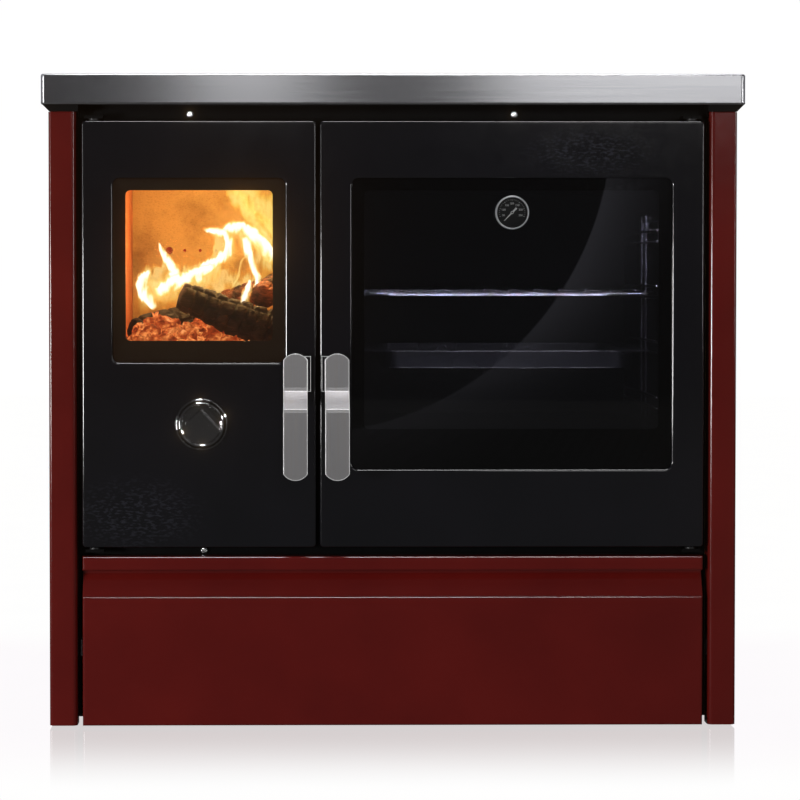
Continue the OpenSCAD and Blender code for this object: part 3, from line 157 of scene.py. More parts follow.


# %% [markdown]
# ## Enamel
# The side panels and the drawer are dark red vitreous enamel, the doors black. Enamel is glass
# fused onto steel: very glossy, with a faint orange peel a few millimetres across. At two places on
# the doors the orange peel shows as a mottled reflection; that reflection is painted in as a weak glow.


# %% Enamels
def enamel(name, dark, light, roughness=0.09, edge_mm=0.0, ior=1.5, reflection_patches=()):
    """Glossy enamel. Each reflection patch is (x, z, half width, half height), with a painted reflection
    there: a mottled glow of its own.
    """
    made, tree, shader = material(name, dark, roughness, IOR=ior)
    drift = cloud(tree, 9, 3)
    wire(tree, ramp(tree, drift, [(0.3, dark), (0.7, light)]), shader.inputs["Base Color"])
    dust = cloud(tree, 60, 5, 0.6)
    wire(tree, spread(tree, dust, roughness * 0.7, roughness * 1.7), shader.inputs["Roughness"])
    soft = bump(tree, cloud(tree, 14, 1, 0.3), 0.6, 0.35, rounded(tree, edge_mm) if edge_mm else None)
    wire(tree, bump(tree, cloud(tree, 130, 2, 0.4), 0.05, 0.5, soft), shader.inputs["Normal"])
    if reflection_patches:
        place = add(tree, "TexCoord").outputs["Object"]
        reflection_mottle = cloud(tree, 1.0, 3, 0.55, (150, 150, 380))
        reflection_waves = ramp(tree, reflection_mottle, [(0.5, "#000000"), (0.62, "#ffffff")])
        painted_reflection_total = None
        for x, z, half_w, half_h in reflection_patches:
            off = add(tree, "VectorMath", {0: place, 1: (x, 0, z)}, operation="SUBTRACT").outputs["Vector"]
            oval = add(tree, "VectorMath", {0: off, 1: (1 / half_w, 0, 1 / half_h)}, operation="MULTIPLY")
            far = add(tree, "VectorMath", {0: oval.outputs["Vector"]}, operation="LENGTH").outputs["Value"]
            near = add(tree, "MapRange", {"Value": far, "From Min": 0.2, "From Max": 1.0, "To Min": 0.012,
                                          "To Max": 0.0}, interpolation_type="SMOOTHSTEP").outputs["Result"]
            painted_reflection_total = add(tree, "Math", {0: near, 1: painted_reflection_total}, operation="ADD").outputs[0] if painted_reflection_total else near
        # Painted reflection: a pale mottled glow on each patch stands in for the wavy reflection there.
        shader.inputs["Emission Color"].default_value = srgb("#dfe2ff")
        lit = add(tree, "Math", {0: painted_reflection_total, 1: reflection_waves}, operation="MULTIPLY").outputs[0]
        wire(tree, lit, shader.inputs["Emission Strength"])
    return made


red_enamel = enamel("red_enamel", "#691613", "#741a16", 0.12)
black_enamel = enamel("black_enamel", "#0d0d12", "#121117", 0.08, ior=1.75,
                      reflection_patches=[(0.254, 0.749, 0.12, 0.04), (-0.335, 0.28, 0.11, 0.06)])
knob_enamel = enamel("knob_enamel", "#060607", "#0a0a0b", 0.06, 1.8, ior=2.5)


def speckled_enamel(name, base, speck):
    """Oven enamel with fine pale specks."""
    made, tree, shader = material(name, base, 0.4, Specular_IOR_Level=0.25)
    dots = add(tree, "TexVoronoi", {"Vector": coordinates(tree, (1, 1, 1)), "Scale": 420.0})
    tone = ramp(tree, dots.outputs["Distance"], [(0.10, speck), (0.2, base)])
    wire(tree, tone, shader.inputs["Base Color"])
    wire(tree, bump(tree, cloud(tree, 180, 3), 0.05, 0.5), shader.inputs["Normal"])
    return made


tray_enamel = enamel("tray_enamel", "#18181b", "#202025", 0.2, 1.2)
oven_enamel = speckled_enamel("oven_enamel", "#050506", "#141417")
print("enamels ready")

# %% [markdown]
# ## Steel
# The hob frame and the handles are brushed stainless steel. The scratches run one way, so the
# grain is noise that is stretched hard along it, and reflections smear across it. The handles'
# bright cut edges are a painted highlight: a glow on the edges, because they are too fine for the lamps to
# catch.


# %% Brushed and plated steel
def painted_edge_highlights(tree, shader, edge):
    """Painted highlight: bends and cut edges glow pale, where the rounded normal turns away from the flat
    one.
    """
    flat = add(tree, "NewGeometry").outputs["Normal"]
    turn = add(tree, "VectorMath", {0: edge, 1: flat}, operation="DISTANCE").outputs["Value"]
    shine = add(tree, "MapRange", {"Value": turn, "From Min": 0.05, "From Max": 0.2, "To Min": 0.0,
                                   "To Max": 0.62}).outputs["Result"]
    shader.inputs["Emission Color"].default_value = srgb("#ffffff")
    wire(tree, shine, shader.inputs["Emission Strength"])


def brushed_steel(name, along, colour, roughness, grain_mm, flat=0.75, edge_mm=0.0, hub=None):
    """Steel brushed along X or Z; hub is (depth, colour) of a darker part behind that depth."""
    made, tree, shader = material(name, colour, roughness, 1.0, Anisotropic=flat, Anisotropic_Rotation=0.25)
    fine, slow = 600.0, 6.0
    if along == "Z":
        grain = cloud(tree, 1.0, 4, 0.7, (fine, fine, slow))
        axis = "X"
    else:
        normal = add(tree, "NewGeometry").outputs["Normal"]
        sideways = add(tree, "SeparateXYZ", {0: normal}).outputs["X"]
        side = add(tree, "Math", {0: sideways}, operation="ABSOLUTE")
        front = cloud(tree, 1.0, 4, 0.7, (slow, fine, fine))
        flank = cloud(tree, 1.0, 4, 0.7, (fine, slow, fine))
        grain = add(tree, "Mix", {"Factor": side.outputs[0], "A": front, "B": flank}).outputs["Result"]
        axis = "Z"
    wire(tree, spread(tree, grain, roughness * 0.85, roughness * 1.15), shader.inputs["Roughness"])
    sheen = ramp(tree, grain, [(0.3, "#bbbbbf"), (0.7, colour)])
    if hub:
        depth = add(tree, "SeparateXYZ", {0: add(tree, "TexCoord").outputs["Object"]}).outputs["Y"]
        behind = add(tree, "Math", {0: depth, 1: hub[0]}, operation="GREATER_THAN").outputs[0]
        sheen = add(tree, "Mix", {"Factor": behind, "A": sheen, "B": srgb(hub[1])},
                    data_type="RGBA").outputs["Result"]
    wire(tree, sheen, shader.inputs["Base Color"])
    edge = rounded(tree, edge_mm) if edge_mm else None
    wire(tree, bump(tree, grain, grain_mm, 0.25, edge), shader.inputs["Normal"])
    # Painted highlight on the bends and cut edges.
    if edge:
        painted_edge_highlights(tree, shader, edge)
    tangent = add(tree, "Tangent", direction_type="RADIAL", axis=axis)
    wire(tree, tangent.outputs[0], shader.inputs["Tangent"])
    return made


hob_steel = brushed_steel("brushed_stainless_frame", "X", "#cfcfd2", 0.2, 0.008)
door_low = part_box("fire_door_panel")[0]
HUB_DEPTH = 0.0145  # the handle's hub lies behind this distance before the door
handle_steel = brushed_steel("brushed_stainless_handle", "Z", "#bbb6b3", 0.4, 0.002, 0.3, 1.3,
                             (door_low.y - HUB_DEPTH, "#2c2c2f"))


def plated_steel(name, dark, light, roughness, edge_mm=0.0):
    """Zinc or chrome plating, slightly clouded."""
    made, tree, shader = material(name, light, roughness, 1.0)
    wire(tree, ramp(tree, cloud(tree, 70, 5, 0.6), [(0.3, dark), (0.7, light)]), shader.inputs["Base Color"])
    haze = cloud(tree, 260, 3)
    wire(tree, spread(tree, haze, roughness * 0.7, roughness * 1.5), shader.inputs["Roughness"])
    edge = rounded(tree, edge_mm) if edge_mm else None
    wire(tree, bump(tree, cloud(tree, 900, 2), 0.01, 0.3, edge), shader.inputs["Normal"])
    return made


zinc_steel = plated_steel("zinc_plated_steel", "#7d8084", "#a9acb1", 0.35)
chromed_wire = plated_steel("chromed_wire", "#dcdde0", "#e8e9ec", 0.1, 1.2)
bezel_steel = plated_steel("polished_bezel", "#d0d1d4", "#eaebee", 0.34)


def thin_rim(made, names, width):
    """Blackens all but the outer width of a round bezel."""
    tree = made.node_tree
    shader = tree.nodes["Principled BSDF"]
    low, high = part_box(names)
    middle = ((low.x + high.x) / 2, 0, (low.z + high.z) / 2)
    place = add(tree, "TexCoord").outputs["Object"]
    off = add(tree, "VectorMath", {0: place, 1: middle}, operation="SUBTRACT").outputs["Vector"]
    flat = add(tree, "VectorMath", {0: off, 1: (1, 0, 1)}, operation="MULTIPLY").outputs["Vector"]
    far = add(tree, "VectorMath", {0: flat}, operation="LENGTH").outputs["Value"]
    inside = add(tree, "Math", {0: far, 1: (high.x - low.x) / 2 - width}, operation="LESS_THAN").outputs[0]
    metal = shader.inputs["Base Color"].links[0].from_socket
    both = add(tree, "Mix", {"Factor": inside, "A": metal, "B": srgb("#141416")}, data_type="RGBA")
    wire(tree, both.outputs["Result"], shader.inputs["Base Color"])


thin_rim(bezel_steel, "thermometer_case", 0.0021)


def domed_steel(name, colour, roughness, edge_mm):
    """Small screw heads: the bevel makes them look domed, as pressed heads are."""
    made, tree, shader = material(name, colour, roughness, 1.0)
    haze = cloud(tree, 400, 3)
    wire(tree, spread(tree, haze, roughness * 0.8, roughness * 1.3), shader.inputs["Roughness"])
    wire(tree, bump(tree, cloud(tree, 1200, 2), 0.01, 0.3, rounded(tree, edge_mm)), shader.inputs["Normal"])
    return made


bolt_steel = domed_steel("domed_bolt_heads", "#e2e3e6", 0.16, 4.0)


def painted_steel(name, dark, light, roughness, grain_mm=0.04, gloss=0.5):
    """Paint with a fine grain."""
    made, tree, shader = material(name, dark, roughness, Specular_IOR_Level=gloss)
    wire(tree, ramp(tree, cloud(tree, 45, 4), [(0.3, dark), (0.7, light)]), shader.inputs["Base Color"])
    haze = cloud(tree, 150, 4)
    wire(tree, spread(tree, haze, roughness * 0.85, roughness * 1.2), shader.inputs["Roughness"])
    wire(tree, bump(tree, cloud(tree, 1100, 3, 0.6), grain_mm, 0.6), shader.inputs["Normal"])
    return made


def border_with_painted_firelight(name):
    """The printed border of the fire window gets a faint, even orange glow: painted firelight."""
    made, tree, shader = material(name, "#070605", 0.4)
    shader.inputs["Emission Color"].default_value = srgb("#e8902c")
    shader.inputs["Emission Strength"].default_value = 0.008
    wire(tree, bump(tree, cloud(tree, 900, 2), 0.01, 0.4), shader.inputs["Normal"])
    return made


firelit_window_border = border_with_painted_firelight("fire_window_border_painted_glow")
black_paint = painted_steel("satin_black_paint", "#050506", "#0a0a0b", 0.45, gloss=0.12)
dark_pin_steel = painted_steel("blackened_pin_steel", "#161617", "#242426", 0.4)
dark_steel = painted_steel("matt_dark_paint", "#26262a", "#2f2f33", 0.6)
flue_paint = painted_steel("flue_paint", "#1b1b1c", "#242426", 0.55, 0.08)
white_paint = painted_steel("white_paint", "#e2e2e2", "#efefef", 0.5, 0.01)
# Painted light: the white print and the needle glow faintly, so that they read bright white.
white_print_glow_shader = white_paint.node_tree.nodes["Principled BSDF"]
white_print_glow_shader.inputs["Emission Color"].default_value = srgb("#ffffff")
white_print_glow_shader.inputs["Emission Strength"].default_value = 0.2


def cast_iron(name, dark, light):
    """Sand-cast iron with a coarse and a fine grain."""
    made, tree, shader = material(name, dark, 0.5, 0.6)
    tone = ramp(tree, cloud(tree, 90, 6, 0.65), [(0.3, dark), (0.75, light)])
    wire(tree, tone, shader.inputs["Base Color"])
    wire(tree, spread(tree, cloud(tree, 40, 4), 0.38, 0.62), shader.inputs["Roughness"])
    coarse = bump(tree, cloud(tree, 420, 4, 0.6), 0.15, 0.6)
    wire(tree, bump(tree, cloud(tree, 1800, 2), 0.05, 0.5, coarse), shader.inputs["Normal"])
    return made


iron = cast_iron("cast_iron", "#29292b", "#3d3d40")
grate_iron = cast_iron("sooty_iron", "#151313", "#2a2523")
print("metals ready")


# %% [markdown]
# ## Brick, rope, wool and glass
# The bricks are pale vermiculite that soot has stained. The rope seals are knitted glass fibre,
# the insulation is rock wool, and the windows are clear ceramic glass.


# %% Brick, rope and wool
def firebrick(name, pale, sooty):
    """Flaky vermiculite with soot stains."""
    made, tree, shader = material(name, pale, 0.95)
    flakes = add(tree, "TexVoronoi", {"Vector": coordinates(tree, (1, 1, 1.6)), "Scale": 260.0})
    stain = cloud(tree, 11, 5, 0.6)
    base = ramp(tree, flakes.outputs["Distance"], [(0.0, "#b3925f"), (0.5, pale)])
    soot = ramp(tree, stain, [(0.5, "#ffffff"), (0.85, sooty)])
    both = add(tree, "MixRGB", {0: 1.0, 1: base, 2: soot}, blend_type="MULTIPLY")
    wire(tree, both.outputs[0], shader.inputs["Base Color"])
    wire(tree, bump(tree, flakes.outputs["Distance"], 0.5, 0.7), shader.inputs["Normal"])
    return made


brick = firebrick("firebrick", "#c8a66e", "#8a6a4a")
# Painted firelight: a redder copy of the brick, for the left wall that the flames light orange.
firelit_brick = firebrick("firebrick_painted_firelight", "#b0633c", "#7a4026")


def rope(name, colour):
    """Knitted glass fibre."""
    made, tree, shader = material(name, colour, 0.95)
    shader.inputs["Sheen Weight"].default_value = 0.3
    knit = add(tree, "TexWave", {"Vector": coordinates(tree, (1, 1, 1)), "Scale": 95.0, "Distortion": 1.5,
                                 "Detail": 2.0, "Detail Scale": 3.0}, bands_direction="DIAGONAL")
    tone = ramp(tree, knit.outputs["Fac"], [(0.1, "#1d1c1b"), (0.8, colour)])
    wire(tree, tone, shader.inputs["Base Color"])
    wire(tree, bump(tree, knit.outputs["Fac"], 0.6, 0.8), shader.inputs["Normal"])
    return made


rope_seal = rope("rope_seal", "#4a4844")


def rock_wool(name):
    """Pressed mineral fibre."""
    made, tree, shader = material(name, "#a8946a", 1.0)
    fibre = cloud(tree, 1.0, 6, 0.7, (60, 900, 300))
    wire(tree, ramp(tree, fibre, [(0.3, "#7c6c48"), (0.7, "#b9a67c")]), shader.inputs["Base Color"])
    wire(tree, bump(tree, fibre, 1.0, 0.8), shader.inputs["Normal"])
    return made


wool = rock_wool("rock_wool")
print("brick, rope and wool ready")

# %% [markdown]
# ## Windows
# The oven window shows the pale reflection of a large round lamp. I draw it in the glass, so it
# moves with the door and doesn't change with the lamps.


# %% Window glass
def window_glass(name, tint, smear=0.04, arc=None):
    """Thin clear glass: light passes straight through, and the surface reflects by Fresnel."""
    made = bpy.data.materials.new(name)
    made.use_nodes = True
    tree = made.node_tree
    tree.nodes.remove(tree.nodes["Principled BSDF"])
    clear = add(tree, "BsdfTransparent", {"Color": srgb(tint)})
    haze = cloud(tree, 25, 4)
    shine = add(tree, "BsdfGlossy", {"Color": (1, 1, 1, 1), "Roughness": spread(tree, haze, 0.0, smear)})
    wire(tree, bump(tree, cloud(tree, 6, 1), 0.25, 0.2), shine.inputs["Normal"])
    fresnel = add(tree, "Fresnel", {"IOR": 1.52})
    both = add(tree, "MixShader", {0: fresnel.outputs[0], 1: clear.outputs[0], 2: shine.outputs[0]})
    surface = both.outputs[0]
    if arc:
        surface = soft_arc(tree, surface, *arc)
    wire(tree, surface, tree.nodes["Material Output"].inputs["Surface"])
    return made


def soft_arc(tree, surface, centre, radius, strength):
    """A pale studio reflection whose edge is an arc, drawn in the plane of the door."""
    place = add(tree, "TexCoord").outputs["Object"]
    offset = add(tree, "VectorMath", {0: place, 1: centre}, operation="SUBTRACT").outputs["Vector"]
    flat = add(tree, "VectorMath", {0: offset, 1: (1, 0, 1)}, operation="MULTIPLY").outputs["Vector"]
    far = add(tree, "VectorMath", {0: flat}, operation="LENGTH").outputs["Value"]
    edge = add(tree, "MapRange", {"Value": far, "From Min": radius,
                                  "From Max": radius + 0.002}).outputs["Result"]
    fade = add(tree, "MapRange", {"Value": far, "From Min": radius, "From Max": radius + 0.13,
                                  "To Min": 1.0, "To Max": 0.0}).outputs["Result"]
    # Painted reflection: the pale glow fades out away from the arc's edge and is weaker low down.
    painted_reflection_falloff = add(tree, "Math", {0: fade, 1: 2.2}, operation="POWER").outputs[0]
    height = add(tree, "SeparateXYZ", {0: place}).outputs["Z"]
    high = add(tree, "MapRange", {"Value": height, "From Min": 0.42, "From Max": 0.58,
                                  "To Min": strength * 0.25, "To Max": strength}).outputs["Result"]
    lit = add(tree, "Math", {0: painted_reflection_falloff, 1: high}, operation="MULTIPLY").outputs[0]
    level = add(tree, "Math", {0: edge, 1: lit}, operation="MULTIPLY").outputs[0]
    pale = add(tree, "Emission", {"Color": srgb("#f0efff"), "Strength": level})
    return add(tree, "AddShader", {0: surface, 1: pale.outputs[0]}).outputs[0]


ceramic_glass = window_glass("ceramic_glass", "#fbf8f2")
oven_glass = window_glass("oven_glass", "#dadade", 0.04, ((-0.122, 0, 0.789), 0.405, 0.009))
inner_glass = window_glass("oven_inner_glass", "#dadade")
lens_glass = window_glass("lens_glass", "#f6f6f6", 0.0)
print("glass ready")

# %% [markdown]
# ## Which part is made of what
# Each ready made part gets one finish.

# %% Paint the ready made parts
FINISHES = {
    red_enamel: "left_side_panel right_side_panel wood_drawer_front",
    black_enamel: "fire_door_panel oven_door_panel",
    knob_enamel: "air_rosette air_knob",
    hob_steel: "hob_frame",
    handle_steel: "fire_handle oven_handle",
    bezel_steel: "thermometer_case",
    zinc_steel: "drawer_runners latch_studs fire_hinge_bushes oven_hinge_bushes air_shutter"
                " fire_latch_arm oven_latch_arm ash_pan",
    bolt_steel: "body_bolts",
    dark_pin_steel: "hinge_pins",
    black_paint: "carcass_sides front_frame under_top_frame hinge_brackets oven_glass_border",
    firelit_window_border: "fire_glass_border",
    dark_steel: "levelling_feet base_plate drawer_ceiling rear_panel plate_bearer firebox_casing smoke_duct"
                " fire_door_liner oven_door_liner wood_drawer_box",
    flue_paint: "flue_spigot",
    iron: "cooking_plate hob_ring hob_lid soot_hatch",
    grate_iron: "fire_grate log_guard",
    brick: "right_firebrick back_firebrick hearth_slab",
    firelit_brick: "left_firebrick",
    oven_enamel: "oven_liner",
    tray_enamel: "baking_tray",
    chromed_wire: "oven_ladders wire_shelf",
    rope_seal: "fire_door_seal oven_door_seal",
    wool: "side_insulation",
    ceramic_glass: "fire_door_glass",
    oven_glass: "oven_door_glass",
    inner_glass: "oven_inner_glass",
    lens_glass: "thermometer_lens",
    white_paint: "thermometer_needle",
}
for finish, names in FINISHES.items():
    for name in names.split():
        mesh = nodes[name].data
        mesh.materials.clear()
        mesh.materials.append(finish)
left = sorted(set(nodes) - set(" ".join(FINISHES.values()).split()))
print("parts without a finish:", left)

# %% [markdown]
# ## The thermometer dial
# The case, lens and needle are ready made. I add the black dial with its ticks and numbers.


# %% Dial
def new_object(name, mesh, finish, body):
    """Adds a piece that rides on a body."""
    made = bpy.data.objects.new(name, mesh)
    scene.collection.objects.link(made)
    mesh.materials.append(finish)
    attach(made, body)
    return made


def dial_disc(name, centre, radius, finish):
    """Thin disc facing the front, slightly dished at its rim."""
    bm = bmesh.new()
    rings = [(0.0, 0.0), (radius * 0.86, 0.0), (radius * 0.9, -0.0003), (radius, -0.0005)]
    count = 72
    loops = []
    for r, out in rings[1:]:
        loops.append([bm.verts.new(centre + Vector((r * math.cos(a), out, r * math.sin(a))))
                      for a in (2 * math.pi * i / count for i in range(count))])
    middle = bm.verts.new(centre)
    for i in range(count):
        bm.faces.new((middle, loops[0][i], loops[0][(i + 1) % count]))
    for inner, outer in zip(loops, loops[1:]):
        for i in range(count):
            j = (i + 1) % count
            bm.faces.new((inner[i], outer[i], outer[j], inner[j]))
    bmesh.ops.recalc_face_normals(bm, faces=bm.faces)
    mesh = bpy.data.meshes.new(name)
    bm.to_mesh(mesh)
    bm.free()
    return new_object(name, mesh, finish, "oven_door")


def ticks_mesh(name, centre, r0, r1, angles, width):
    """Flat ticks from r0 to r1; angles are (angle, whether the tick is long)."""
    bm = bmesh.new()
    for angle, long in angles:
        along = Vector((math.cos(angle), 0, math.sin(angle)))
        across = Vector((-math.sin(angle), 0, math.cos(angle))) * width / 2
        start = r0 if long else (r0 + r1) / 2
        corners = [centre + along * start - across, centre + along * r1 - across,
                   centre + along * r1 + across, centre + along * start + across]
        bm.faces.new([bm.verts.new(c) for c in corners])
    mesh = bpy.data.meshes.new(name)
    bm.to_mesh(mesh)
    bm.free()
    return mesh


def number_mesh(name, text, centre, height):
    """A plain number, upright and facing the front."""
    curve = bpy.data.curves.new(name, "FONT")
    curve.body = text
    curve.size = height
    curve.align_x = "CENTER"
    curve.align_y = "CENTER"
    holder = bpy.data.objects.new(name + "_outline", curve)
    scene.collection.objects.link(holder)
    bpy.context.view_layer.update()
    mesh = bpy.data.meshes.new_from_object(holder.evaluated_get(bpy.context.evaluated_depsgraph_get()))
    bpy.data.objects.remove(holder)
    mesh.transform(Matrix.Translation(centre) @ Matrix.Rotation(math.radians(90), 4, "X"))
    return mesh


case_low, case_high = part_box("thermometer_case")
needle_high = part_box("thermometer_needle")[1]
dial_r = 0.0195
behind_needle = 0.0012
dial_mid = Vector(((case_low.x + case_high.x) / 2, needle_high.y + behind_needle,
                   (case_low.z + case_high.z) / 2))
dial_paint = painted_steel("dial_black", "#0a0a0b", "#101012", 0.45, 0.01)
dial_disc("thermometer_dial", dial_mid, dial_r, dial_paint)
FIRST, STEP = 234, 36  # degrees, for every 50 on the scale
NUMERAL_HEIGHT = 0.0036
marks = [(math.radians(FIRST - STEP * i / 4), i % 4 == 0) for i in range(4, 29)]
print_y = Vector((0, -0.00015, 0))
tick_mesh = ticks_mesh("thermometer_ticks", dial_mid + print_y, dial_r * 0.78, dial_r * 0.88, marks, 0.0004)
new_object("thermometer_ticks", tick_mesh, white_paint, "oven_door")
for i in range(1, 8):
    angle = math.radians(FIRST - STEP * i)
    spot = dial_mid + print_y + Vector((math.cos(angle), 0, math.sin(angle))) * dial_r * 0.6
    numeral = number_mesh(f"thermometer_number_{i}", str(i * 50), spot, NUMERAL_HEIGHT)
    new_object(f"thermometer_number_{i}", numeral, white_paint, "oven_door")
print("dial at", tuple(round(v, 4) for v in dial_mid))

# %% [markdown]
# ## The fire
# Four logs lie on a bed of embers, two of them charred and two in a redder colour that is a painted
# glow, with flames between and behind them.


# %% Log, ember and flame materials
def charred_wood(name, dark, pale):
    """Burnt wood with its grain and patches of soot."""
    made, tree, shader = material(name, dark, 0.85)
    grain = cloud(tree, 1.0, 5, 0.65, (90, 500, 500))
    patch = cloud(tree, 45, 4)
    wood = ramp(tree, grain, [(0.3, dark), (0.75, pale)])
    soot = ramp(tree, patch, [(0.4, "#ffffff"), (0.65, "#4a4440")])
    both = add(tree, "MixRGB", {0: 1.0, 1: wood, 2: soot}, blend_type="MULTIPLY")
    wire(tree, both.outputs[0], shader.inputs["Base Color"])
    coarse = bump(tree, cloud(tree, 260, 4), 0.8, 0.7)
    wire(tree, bump(tree, grain, 1.0, 0.9, coarse), shader.inputs["Normal"])
    return made


def glowing_ember(name):
    """Coals that glow through their dark crust."""
    made, tree, shader = material(name, "#8a4a30", 0.9)
    crust = cloud(tree, 75, 6, 0.7)
    heat = [(0.30, "#ffc890"), (0.42, "#f09650"), (0.53, "#a8441c"), (0.64, "#2c0f08")]
    wire(tree, ramp(tree, crust, heat), shader.inputs["Emission Color"])
    wire(tree, spread(tree, crust, 1.5, 0.0), shader.inputs["Emission Strength"])
    wire(tree, bump(tree, crust, 2.0, 0.7), shader.inputs["Normal"])
    return made


def flame(name, strength, cover, soft, stops):
    """Flames are thin sheets; u runs across a tongue and v up it, and the edges fade out."""
    made = bpy.data.materials.new(name)
    made.use_nodes = True
    tree = made.node_tree
    tree.nodes.remove(tree.nodes["Principled BSDF"])
    uv = add(tree, "UVMap", uv_map="tongue").outputs[0]
    wisp = add(tree, "TexNoise", {"Vector": coordinates(tree, (1, 1, 0.45)), "Scale": 55.0, "Detail": 4.0,
                                  "Distortion": 0.8}).outputs["Fac"]
    lick = add(tree, "TexNoise", {"Vector": coordinates(tree, (1, 1, 0.3)), "Scale": 210.0,
                                  "Detail": 3.0}).outputs["Fac"]
    parts = add(tree, "SeparateXYZ", {0: uv})
    warp = add(tree, "Math", {0: spread(tree, wisp, -0.5, 0.5), 1: spread(tree, lick, -0.16, 0.16)},
               operation="ADD")
    across = add(tree, "Math", {0: parts.outputs["X"], 1: warp.outputs[0]}, operation="ADD").outputs[0]
    left = add(tree, "MapRange", {"Value": across, "From Min": 0.1, "From Max": 0.1 + soft * 0.5},
               interpolation_type="SMOOTHSTEP").outputs["Result"]
    right = add(tree, "MapRange", {"Value": across, "From Min": 0.95, "From Max": 0.95 - soft},
                interpolation_type="SMOOTHSTEP").outputs["Result"]
    body = add(tree, "Math", {0: left, 1: right}, operation="MULTIPLY").outputs[0]
    edge_u = add(tree, "Math", {0: parts.outputs["X"], 1: 0.5}, operation="SUBTRACT").outputs[0]
    off = add(tree, "Math", {0: edge_u}, operation="ABSOLUTE").outputs[0]
    border = add(tree, "MapRange", {"Value": off, "From Min": 0.5, "From Max": 0.3}).outputs["Result"]
    near_end = add(tree, "Math", {0: parts.outputs["Y"], 1: 0.5}, operation="SUBTRACT").outputs[0]
    off_end = add(tree, "Math", {0: near_end}, operation="ABSOLUTE").outputs[0]
    ends = add(tree, "MapRange", {"Value": off_end, "From Min": 0.5, "From Max": 0.5 - soft * 0.25},
               interpolation_type="SMOOTHSTEP").outputs["Result"]
    frame_fade = add(tree, "Math", {0: border, 1: ends}, operation="MULTIPLY").outputs[0]
    shape = add(tree, "Math", {0: body, 1: frame_fade}, operation="MULTIPLY").outputs[0]
    alpha = add(tree, "Math", {0: shape, 1: cover}, operation="MULTIPLY").outputs[0]
    glow = add(tree, "Emission", {"Color": ramp(tree, shape, stops), "Strength": strength})
    clear = add(tree, "BsdfTransparent")
    both = add(tree, "MixShader", {0: alpha, 1: clear.outputs[0], 2: glow.outputs[0]})
    wire(tree, both.outputs[0], tree.nodes["Material Output"].inputs["Surface"])
    return made


char = charred_wood("charred_wood", "#0b0908", "#453e38")
# Painted glow: a redder, paler copy of the charred wood stands in for the glow of two burning logs.
firelit_char = charred_wood("charred_wood_painted_glow", "#321710", "#a4644a")
ember = glowing_ember("glowing_ember")
bright_fire = flame("bright_flame", 1.6, 1.0, 0.5, [(0.0, "#ff9426"), (0.15, "#ffb040"), (0.35, "#ffd878"),
                                                    (0.6, "#fff2c4"), (0.85, "#fffdf0")])
soft_fire = flame("soft_flame", 1.25, 0.6, 0.62,
                  [(0.0, "#f58a24"), (0.25, "#ffac3c"), (0.55, "#ffcc60"), (0.9, "#ffe694")])
veil_fire = flame("flame_veil", 1.4, 1.0, 0.9,
                  [(0.0, "#f5a02c"), (0.12, "#fac848"), (0.3, "#fdec68"), (0.7, "#fffab0")])
print("fire materials ready")

# %% [markdown]
# ## Logs
# Charred wood cracks into blocks, so each log is a tube whose radius dips along the cracks.


# %% Logs
def log_mesh(name, start, end, radius, taper, seed, blocks):
    """Charred log: its surface has cracked into blocks, with grooves along and round it."""
    axis = (end - start).normalized()
    side = axis.cross(Vector((0, 0, 1))).normalized()
    up = side.cross(axis)
    length = (end - start).length
    bm = bmesh.new()
    rows, cols = 110, 72
    rings = []
    for i in range(rows + 1):
        t = i / rows
        ring = []
        for j in range(cols):
            a = 2 * math.pi * j / cols
            place = Vector((t * length * 30, math.cos(a) * 1.3, math.sin(a) * 1.3 + seed * 7))
            sector, across = divmod(a / (2 * math.pi) * 7 + 0.15 * noise.noise(place * 1.5), 1)
            shift = 0.43 * (int(sector) % 3) + 0.3 * noise.noise(Vector((sector, seed, t * 3)))
            step = (t * blocks + shift) % 1
            ringwise = math.exp(-(min(step, 1 - step) * 11) ** 2)
            lengthwise = math.exp(-(min(across, 1 - across) * 9) ** 2) * 0.8
            groove = max(ringwise, lengthwise)
            lump = (0.14 * noise.noise(place * 0.7) + 0.06 * noise.noise(place * 2.6)
                    + 0.03 * noise.noise(place * 9))
            ends = 1 - 0.1 * abs(2 * t - 1) ** 8
            r = radius * (1 + taper * t) * (1 + lump - 0.17 * groove) * ends
            ring.append(bm.verts.new(start + axis * t * length + (side * math.cos(a) + up * math.sin(a)) * r))
        rings.append(ring)
    for a, b in zip(rings, rings[1:]):
        for j in range(cols):
            k = (j + 1) % cols
            bm.faces.new((a[j], a[k], b[k], b[j]))
    for ring, point, way in ((rings[0], start, -1), (rings[-1], end, 1)):
        tip = bm.verts.new(point + axis * way * 0.003)
        for j in range(cols):
            k = (j + 1) % cols
            bm.faces.new((ring[j], tip, ring[k]))
    for face in bm.faces:
        face.smooth = True
    bmesh.ops.recalc_face_normals(bm, faces=bm.faces)
    mesh = bpy.data.meshes.new(name)
    bm.to_mesh(mesh)
    bm.free()
    return mesh


hearth_low, hearth_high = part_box("hearth_slab")
grate_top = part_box("fire_grate")[1].z
print("hearth slab top", round(hearth_high.z, 3), "grate top", round(grate_top, 3))
# Name, start, end, radius, taper, seed, blocks along it, material
LOGS = [
    ("front_log", (-0.2815, -0.150, 0.562), (-0.136, -0.128, 0.504), 0.0205, 0.36, 1.0, 9, char),
    ("low_log", (-0.345, -0.140, 0.512), (-0.225, -0.050, 0.545), 0.019, 0.0, 2.4, 7, char),
    ("rear_log", (-0.235, -0.020, 0.548), (-0.160, -0.045, 0.572), 0.017, 0.0, 4.1, 5, firelit_char),
    ("right_log", (-0.172, -0.120, 0.560), (-0.142, -0.020, 0.585), 0.018, 0.0, 5.3, 7, firelit_char),
]
for name, start, end, radius, taper, seed, blocks, finish in LOGS:
    made = log_mesh(name, Vector(start), Vector(end), radius, taper, seed, blocks)
    new_object(name, made, finish, "stove_body")
print(len(LOGS), "logs laid")

